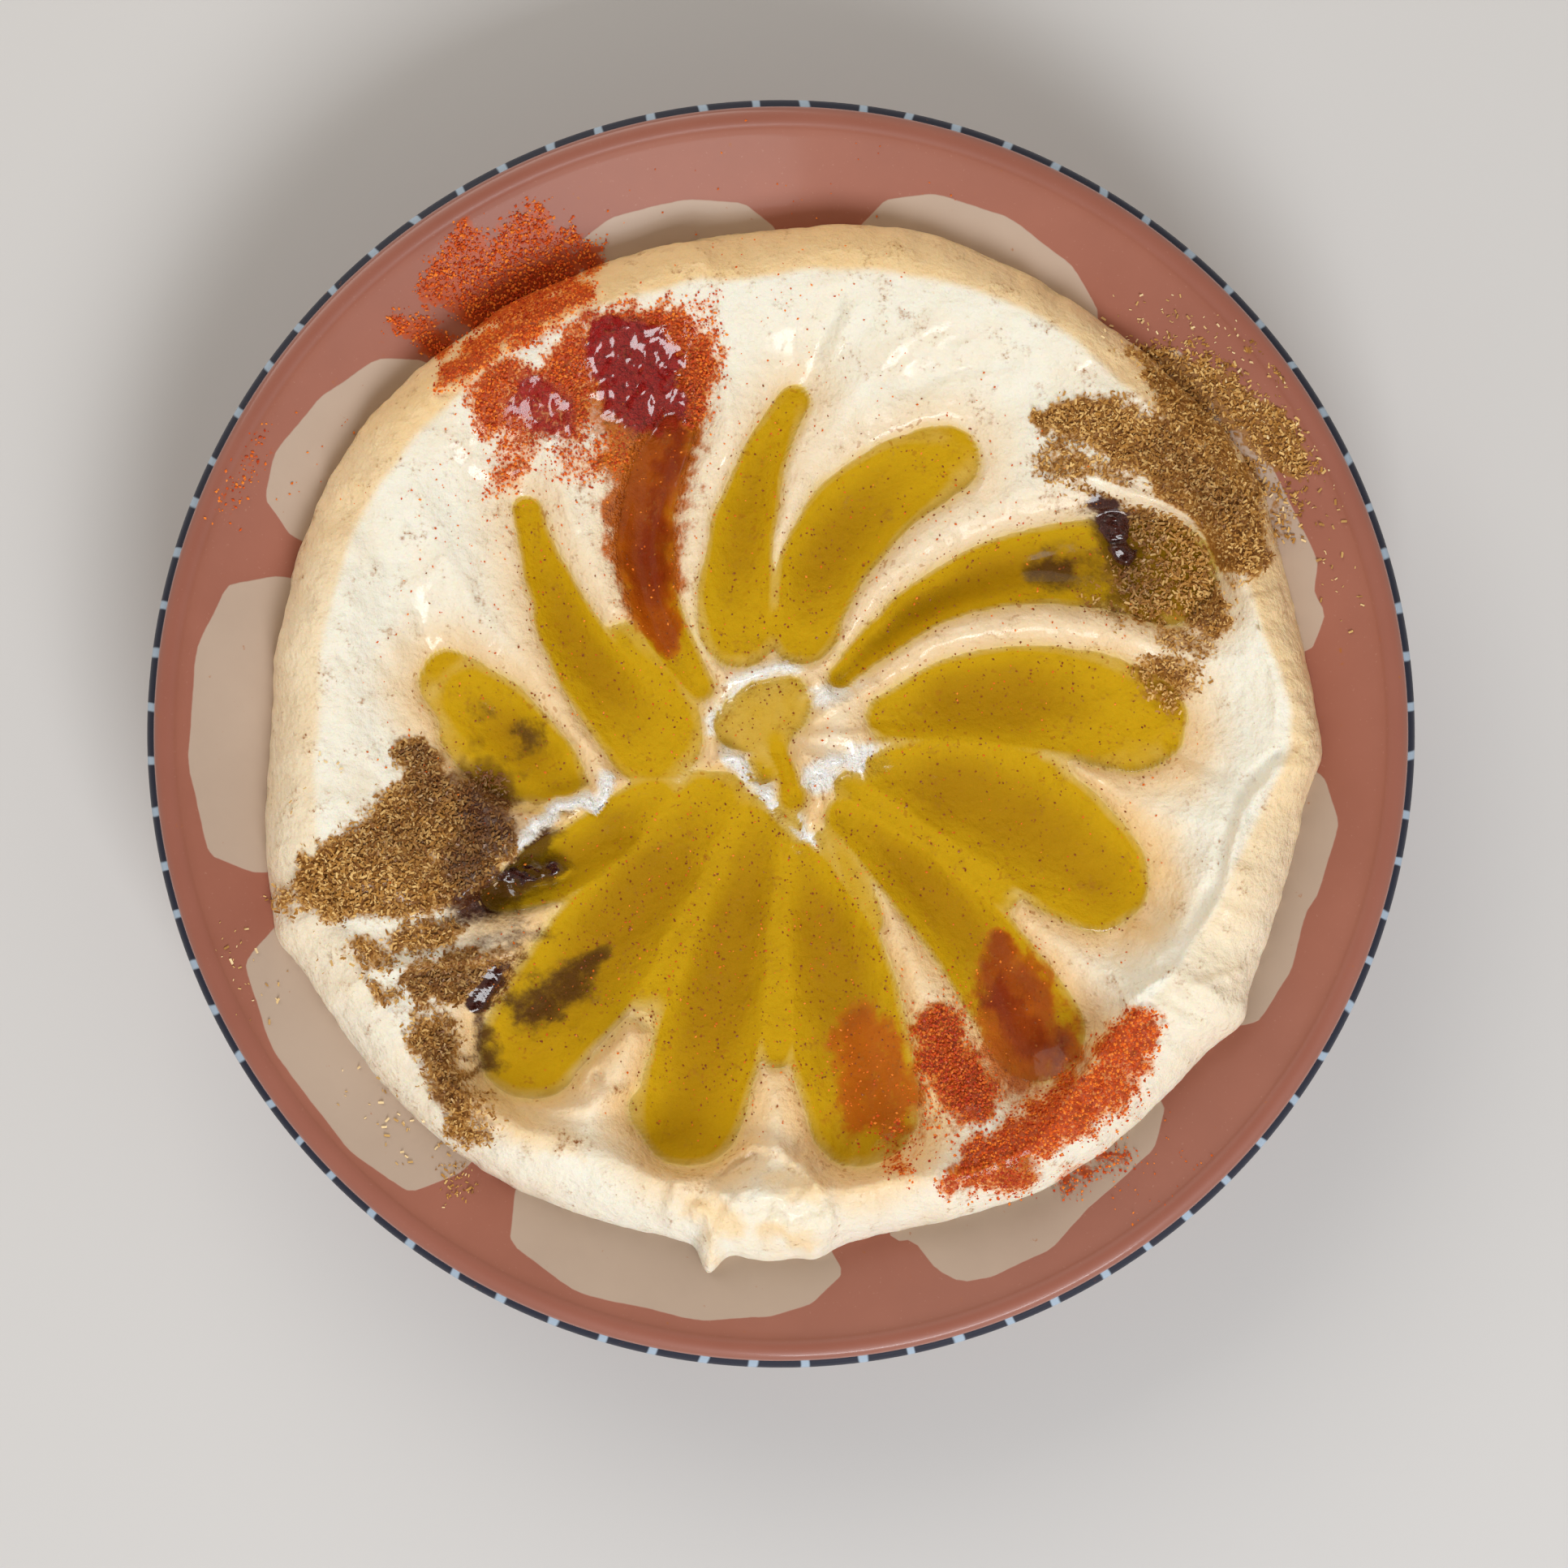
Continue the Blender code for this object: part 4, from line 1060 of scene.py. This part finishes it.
# Painted petals: corners as (degrees, radius in mm), going round each one.
PETALS = (
    ((7, 70), (9, 89.5), (12.5, 92.4), (15, 91.6), (18, 93.5), (31, 93.0), (45, 92.0), (47, 70)),
    ((48, 70), (50.5, 82.0), (53, 88.0), (58, 91.5), (66, 93.6), (74, 93.2), (79, 90.5), (82, 84.0), (83, 70)),
    ((88, 70), (90.5, 84.5), (94, 88.6), (100, 90.3), (108, 90.5), (114, 88.0), (119, 84.0), (121, 70)),
    ((132, 70), (133.5, 86.0), (137, 91.5), (144, 94.5), (151, 95.8), (155.5, 94.0), (158, 88.0), (159, 70)),
    ((161, 70), (162.5, 88.0), (165, 95.0), (172, 97.6), (183, 98.0), (192, 96.6), (195, 90.0), (196, 70)),
    ((199, 70), (200.5, 89.0), (203, 96.5), (212, 98.8), (224, 99.0), (231, 97.5), (234, 90.0), (235, 70)),
    ((238, 70), (239.5, 87.0), (242, 95.5), (250, 98.2), (262, 97.8), (269, 96.3), (273, 94.6), (276.6, 90.2),
     (275.0, 84.5), (274.5, 70)),
    ((281.5, 70), (282.3, 86.6), (284.7, 87.0), (286.2, 92.6), (288.2, 95.5), (291.1, 96.2), (297.6, 96.2),
     (303, 93.5), (307, 93.0), (312, 92.5), (316, 89.0), (318, 70)),
    ((324, 70), (326, 88.0), (329, 92.5), (335, 93.3), (341, 92.0), (343.5, 93.0), (351, 93.6), (355.5, 90.5),
     (358, 84.0), (359, 70)),
)


def softened(corners):
    """A closed outline with its corners cut off, twice."""
    points = np.array([(r * MM * math.cos(math.radians(a)), r * MM * math.sin(math.radians(a))) for a, r in corners])
    for _ in range(2):
        after = np.roll(points, -1, 0)
        near, far = points * 0.92 + after * 0.08, points * 0.08 + after * 0.92
        points = np.stack([near, far], 1).reshape(-1, 2)
    return points


def outline_distance(x, y, points):
    """Distance inside an outline, less than nothing outside."""
    best = np.full(x.shape, 1.0)
    inside = np.zeros(x.shape, bool)
    for (x0, y0), (x1, y1) in zip(points, np.roll(points, -1, 0)):
        dx, dy = x1 - x0, y1 - y0
        share = np.clip(((x - x0) * dx + (y - y0) * dy) / (dx * dx + dy * dy + 1e-15), 0, 1)
        best = np.minimum(best, np.hypot(x - x0 - dx * share, y - y0 - dy * share))
        crosses = (y0 > y) != (y1 > y)
        with np.errstate(divide="ignore", invalid="ignore"):
            inside ^= crosses & (x < x0 + (y - y0) / (y1 - y0) * dx)
    return np.where(inside, best, -best)


def make_bowl():
    profile = bowl_profile()
    angles = np.arange(BOWL_SPOKES) * math.tau / BOWL_SPOKES
    points, faces, starts = [], [], []
    for r, z in profile:
        starts.append(sum(len(p) for p in points))
        if r == 0.0:
            points.append(np.array([[0.0, 0.0, z]]))
        else:
            points.append(np.stack([*polar(r, angles), np.full(BOWL_SPOKES, z)], 1))
    for k in range(len(profile) - 1):
        first, after = len(points[k]), len(points[k + 1])
        if after == 1:
            faces += [(starts[k] + (i + 1) % first, starts[k] + i, starts[k + 1]) for i in range(first)]
        else:
            faces += faces_between(starts[k], first, starts[k + 1], after)
    points = np.concatenate(points)
    radius = np.hypot(points[:, 0], points[:, 1])
    bowl = mesh_object("glazed_bowl", points, faces)
    x, y = points[:, 0], points[:, 1]
    on_top = np.arange(len(points)) < starts[INSIDE_RINGS + 1]
    petal = np.full(len(points), NO_PETAL)
    rim = on_top & (radius > PETALS_FROM)
    for corners in PETALS:
        petal[rim] = np.maximum(petal[rim], outline_distance(x[rim], y[rim], softened(corners)))
    groove = INSIDE_RINGS + LIP_RINGS
    wall = np.zeros(len(points))
    wall[starts[groove + 1] : starts[groove + GROOVE_RINGS + WALL_RINGS]] = 1.0
    fields = {
        "petal": petal / MM,
        "painted_wall": wall,
        "paprika": dusting(x, y, PAPRIKA, 2.5) * on_top,
        "cumin": dusting(x, y, CUMIN, 2.0) * on_top,
    }
    for name, values in fields.items():
        add_attribute(bowl, name, values)
    bowl.data.materials.append(bowl_finish())
    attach(bowl, "root")
    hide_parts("bowl")


CLAY, PALE_CLAY = (0.29, 0.097, 0.060), (0.38, 0.140, 0.092)
CLAY_FLECK = (0.55, 0.30, 0.22)
# Darker clay for the painted shade on the lip.
LIP_SHADE_CLAY = (0.27, 0.088, 0.058)
BEIGE, PALE_BEIGE = (0.43, 0.320, 0.245), (0.52, 0.40, 0.31)
PAPRIKA_ON_GLAZE = (0.46, 0.07, 0.004)
CUMIN_ON_GLAZE = (0.34, 0.15, 0.03)
NAVY = (0.012, 0.014, 0.03)
PALE_BLUE = (0.36, 0.45, 0.55)


def bowl_finish():
    f = Finish("glazed_terracotta", specular_ior_level=0.35)
    petal, wall = f.attribute("petal"), f.attribute("painted_wall")
    clouds, fine = f.noise(40, 5), f.noise(900, 3)
    cloudy = (clouds * 1.4 + 0.5).kept()
    clay = f.blend(cloudy, CLAY, PALE_CLAY)
    clay = f.blend(f.noise(1800, 2).over(0.18, 0.24) * 0.25, clay, CLAY_FLECK)
    painted = (petal + f.noise(160, 3) * 0.5).over(-0.12, 0.12)
    colour = f.blend(painted, clay, f.blend(cloudy, BEIGE, PALE_BEIGE))
    x, y = f.plan()
    radius = maths("SQRT", x * x + y * y)
    # Painted shade: the lip's clay is darkened all round, against the light its rounding catches.
    lip = radius.over(*SHADED_LIP_RADII)
    colour = f.blend(lip * 0.5 * (1 - wall), colour, LIP_SHADE_CLAY)
    beat = maths("FRACT", maths("ARCTAN2", y, x) * (1 / math.tau) * WALL_STROKES + f.noise(60, 2) * 0.6)
    stroke = 1 - maths("ABSOLUTE", beat - 0.5).over(*STROKE_HALF_WIDTH)
    colour = f.blend(wall, colour, f.blend(stroke, NAVY, PALE_BLUE))
    for spice, share, dusted in (("paprika", 0.92, PAPRIKA_ON_GLAZE), ("cumin", 0.9, CUMIN_ON_GLAZE)):
        grains = (f.attribute(spice) * 1.5 + fine * 1.6 + f.noise(250, 2) - 0.40).over(0.0, 0.35)
        colour = f.blend(grains * share, colour, dusted)
    f.set("Base Color", colour)
    f.set("Roughness", 0.55 + clouds * 0.15 - lip * 0.05)
    edge = radius.over(*SHINY_EDGE) * (1 - wall)
    f.set("Coat Weight", edge * 0.94 + 0.06)
    f.set("Coat Roughness", 0.10)
    f.bump(clouds * 0.5 + fine * 0.10 + painted * 0.35, 0.12 * MM)
    return f.material


# ---- Loose spices ----
def grain_mesh(name, length, width, depth, splinter, seed):
    """One grain about the origin, its sizes in mm: a blunt splinter, or a crumb with eight faces."""
    rng = np.random.default_rng(seed)
    grain = bmesh.new()
    if splinter:
        bmesh.ops.create_cube(grain, size=1.0)
        for vert in grain.verts:
            vert.co.y *= 0.6 + 0.8 * rng.random()
            vert.co.z *= 0.6 + 0.8 * rng.random()
    else:
        axes = ((1, 0, 0), (0, 1, 0), (0, 0, 1))
        ends = [grain.verts.new(Vector(axis) * 0.5 * sign) for axis in axes for sign in (1, -1)]
        for a in ends[:2]:
            for b in ends[2:4]:
                for c in ends[4:]:
                    turned = a.co.cross(b.co).dot(c.co) > 0
                    grain.faces.new((a, b, c) if turned else (a, c, b))
    for vert in grain.verts:
        vert.co *= 1 + 0.3 * (rng.random() - 0.5)
        vert.co.x *= length * MM
        vert.co.y *= width * MM
        vert.co.z *= depth * MM
    mesh = bpy.data.meshes.new(name)
    grain.to_mesh(mesh)
    grain.free()
    return mesh


def support_z(x, y):
    """What a grain lies on: the hummus, the oil or the bowl."""
    angle, radius = np.arctan2(y, x), np.hypot(x, y)
    height, shore = hummus_z(x, y)
    height = height + (dusting(x, y, PAPRIKA) * 0.25 + dusting(x, y, CUMIN) * 0.35) * MM
    height = np.where(height < OIL_LEVEL, oil_surface_z(shore), height)
    inner, outer = crest_radius(angle), mound_radius(angle)
    share = np.clip((radius - inner) / (outer - inner), 0, 1)
    turn = np.arcsin(share ** (1 / SHOULDER_OUT))
    foot = inside_z(outer)
    shoulder = foot + (crest_z(angle) - foot) * np.cos(turn) ** SHOULDER_DOWN
    height = np.where(radius > inner, shoulder, height)
    wide_x, wide_y = widened(x, y, inside_z(radius))
    height = np.where(radius > outer, inside_z(np.hypot(wide_x, wide_y)), height)
    return height, shore


def scattered(name, patches, per_mm2, grain, seed, finish, sizes, soft=1.6, wet_patches=()):
    """Loose grains over the patches, made into one plain mesh."""
    rng = np.random.default_rng(seed)
    every = [p for points, _ in patches for p in points]
    low = np.array([min(p[k] - p[2] for p in every) - PATCH_MARGIN for k in (0, 1)])
    high = np.array([max(p[k] + p[2] for p in every) + PATCH_MARGIN for k in (0, 1)])
    count = int((high - low).prod() * per_mm2)
    spots = (low + rng.random((count, 2)) * (high - low)) * MM
    x, y = spots[:, 0], spots[:, 1]
    keep = rng.random(count) < dusting(x, y, patches, soft)
    keep &= np.hypot(x, y) < GRAINS_WITHIN
    x, y = x[keep], y[keep]
    z, shore = support_z(x, y)
    kept = np.ones(len(x), bool)
    if patches is SPECKS:
        kept = (shore < 1.5 * MM) | (rng.random(len(x)) < 0.08)
    elif name == "cumin_flakes":
        kept = (dusting(x, y, LUMPS, 1.0) < 0.4) & (rng.random(len(x)) > dusting(x, y, WET_CUMIN, 1.5) * 0.9)
    elif name == "paprika_grains":
        kept = rng.random(len(x)) > dusting(x, y, CORES, 1.5) * 1.4 - 0.1
    x, y, z = x[kept], y[kept], z[kept]
    smallest, largest = sizes
    size = rng.random(len(x)) ** 2
    z = z + GRAIN_LIFT * (smallest + (largest - smallest) * size)
    z = z + rng.random(len(x)) * HEAP_HEIGHT * dusting(x, y, patches, 1.0)
    turns = np.stack([*((rng.random((2, len(x))) - 0.5) * TILT), rng.random(len(x)) * math.tau], 1)
    wet = dusting(x, y, wet_patches, 4.0)
    x, y = widened(x, y, z)
    mesh = bpy.data.meshes.new(name + "_spots")
    mesh.vertices.add(len(x))
    mesh.vertices.foreach_set("co", np.stack([x, y, z], 1).astype(np.float32).ravel())
    mesh.attributes.new("turn", "FLOAT_VECTOR", "POINT").data.foreach_set("vector", turns.astype(np.float32).ravel())
    holder = linked(name + "_holder", mesh)
    for label, values in (("size", size), ("tone", rng.random(len(x))), ("wet", wet)):
        add_attribute(holder, label, values)
    grain_object = linked(name + "_grain", grain)
    modifier = holder.modifiers.new("Scatter", "NODES")
    modifier.node_group = SCATTER
    given = {"Grain": grain_object, "Smallest": smallest, "Largest": largest, "Finish": finish}
    for socket in SCATTER.interface.items_tree:
        if socket.name in given:
            modifier[socket.identifier] = given[socket.name]
    graph = bpy.context.evaluated_depsgraph_get()
    made = bpy.data.meshes.new_from_object(holder.evaluated_get(graph))
    made.name = name
    piece = linked(name, made)
    for used in (holder, grain_object):
        bpy.data.objects.remove(used)
    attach(piece, "root")


def scatter_tree():
    """Grains on a mesh's points, turned by the points' own attribute and sized between smallest and largest."""
    tree = bpy.data.node_groups.new("scatter", "GeometryNodeTree")
    kinds = {"Points": "Geometry", "Grain": "Object", "Smallest": "Float", "Largest": "Float", "Finish": "Material"}
    for name, kind in kinds.items():
        tree.interface.new_socket(name, in_out="INPUT", socket_type="NodeSocket" + kind)
    tree.interface.new_socket("Grains", in_out="OUTPUT", socket_type="NodeSocketGeometry")
    given = tree.nodes.new("NodeGroupInput").outputs

    def made(kind, entries, settings=None, output=0):
        return add_node(tree, kind, settings, entries).outputs[output]

    def stored(name, kind):
        return made("GeometryNodeInputNamedAttribute", {"Name": name}, {"data_type": kind}, "Attribute")

    grain = made("GeometryNodeObjectInfo", {"Object": given["Grain"]}, output="Geometry")
    turn = made("FunctionNodeEulerToRotation", {0: stored("turn", "FLOAT_VECTOR")})
    between = {"Value": stored("size", "FLOAT"), "To Min": given["Smallest"], "To Max": given["Largest"]}
    size = made("ShaderNodeMapRange", between)
    placed = {"Points": given["Points"], "Instance": grain, "Rotation": turn, "Scale": size}
    grains = made("GeometryNodeRealizeInstances", {0: made("GeometryNodeInstanceOnPoints", placed)})
    painted = made("GeometryNodeSetMaterial", {"Geometry": grains, "Material": given["Finish"]})
    add_node(tree, "NodeGroupOutput", None, {0: painted})
    return tree


def spice_finish(name, dark, middle, light, soaked, roughness):
    f = Finish(name, roughness=roughness, specular_ior_level=0.25)
    tone, wet = f.attribute("tone"), f.attribute("wet")
    colour = f.blend(tone.over(0.0, 0.5), dark, middle)
    colour = f.blend(tone.over(0.5, 1.0), colour, light)
    f.set("Base Color", f.blend(wet.kept() * 0.85, colour, soaked))
    f.set("Coat Weight", wet.kept() * 0.25)
    f.set("Coat Roughness", 0.12)
    return f.material


# ---- Stage ----
def make_stage():
    corners = [(x * TABLE_HALF, y * TABLE_HALF, 0) for x, y in ((-1, -1), (1, -1), (1, 1), (-1, 1))]
    floor = mesh_object("table", corners, [(0, 1, 2, 3)])
    floor.data.materials.append(Finish("table_top", base_color=(0.62, 0.61, 0.60), roughness=0.8).material)


def area_light(name, place, size, power, colour):
    data = bpy.data.lights.new(name, "AREA")
    data.shape = "RECTANGLE"
    data.size, data.size_y = size
    data.energy = power
    data.color = colour
    light = linked(name, data)
    light.location = place
    light.rotation_euler = (Vector(LIT_POINT) - Vector(place)).to_track_quat("-Z", "Y").to_euler()


def make_camera_and_lights():
    data = bpy.data.cameras.new("camera")
    data.lens = VIEW_LENS
    data.sensor_width = 36.0
    camera = linked("camera", data)
    camera.location = (*VIEW_CENTRE, VIEW_HEIGHT)
    bpy.context.scene.camera = camera
    world = bpy.data.worlds.new("studio")
    world.use_nodes = True
    tree = world.node_tree
    place = add_node(tree, "ShaderNodeTexCoord").outputs["Generated"]
    height = add_node(tree, "ShaderNodeSeparateXYZ", None, {0: place}).outputs["Z"]
    dimming = {"Value": height, "From Min": 0.80, "From Max": 0.97, "To Min": 0.45, "To Max": 0.0}
    dimmed = add_node(tree, "ShaderNodeMapRange", {"interpolation_type": "SMOOTHSTEP"}, dimming)
    background = tree.nodes["Background"].inputs
    plug(tree, dimmed.outputs["Result"], background["Strength"])
    plug(tree, SKY, background["Color"])
    bpy.context.scene.world = world
    area_light("window", (0.30, -0.95, 1.0), (0.70, 0.55), 15.0, (0.95, 0.97, 1.0))
    area_light("fill", (-0.5, 0.9, 0.8), (1.2, 1.0), 8.0, (1.0, 0.95, 0.88))


make_camera_and_lights()
make_stage()
make_bowl()
make_hummus()
make_oil()
SCATTER = scatter_tree()
SOAKED_RED, SOAKED_BROWN = (0.36, 0.010, 0.014), (0.12, 0.035, 0.006)
red = spice_finish("paprika", (0.44, 0.038, 0.004), (0.74, 0.105, 0.006), (0.95, 0.28, 0.03), SOAKED_RED, 0.5)
brown = spice_finish("cumin", (0.24, 0.09, 0.012), (0.48, 0.23, 0.045), (0.80, 0.52, 0.19), SOAKED_BROWN, 0.6)
dark_red = spice_finish(
    "specks", (0.20, 0.035, 0.002), (0.34, 0.080, 0.004), (0.48, 0.15, 0.01), (0.18, 0.03, 0.002), 0.5
)
bright_brown = spice_finish(
    "loose_cumin", (0.40, 0.20, 0.05), (0.66, 0.42, 0.15), (0.92, 0.72, 0.40), (0.15, 0.045, 0.008), 0.6
)
bright_red = spice_finish(
    "loose_paprika", (0.60, 0.09, 0.004), (0.74, 0.15, 0.006), (0.92, 0.27, 0.03), SOAKED_RED, 0.5
)
crumb = grain_mesh("paprika_crumb", 0.64, 0.38, 0.26, False, 3)
flake = grain_mesh("cumin_flake", 0.78, 0.23, 0.16, True, 4)
scattered("paprika_grains", PAPRIKA, 8.5, crumb, 11, red, (0.5, 1.4), 2.0, SOGGY)
scattered("cumin_flakes", CUMIN, 9.0, flake, 12, brown, (0.4, 1.2), 2.0, WET_CUMIN + DARKENED)
scattered("stray_cumin", STRAY_CUMIN, 4.0, flake, 13, bright_brown, (0.4, 1.2))
scattered("stray_paprika", STRAY_PAPRIKA + SPECKS, 4.0, crumb, 14, bright_red, (0.5, 1.1))
scattered("dark_specks", SPECKS, 14.0, crumb, 15, dark_red, (0.5, 1.1), 1.6, SPECKS_SOAKED)

bpy.context.scene.view_settings.view_transform = "Standard"
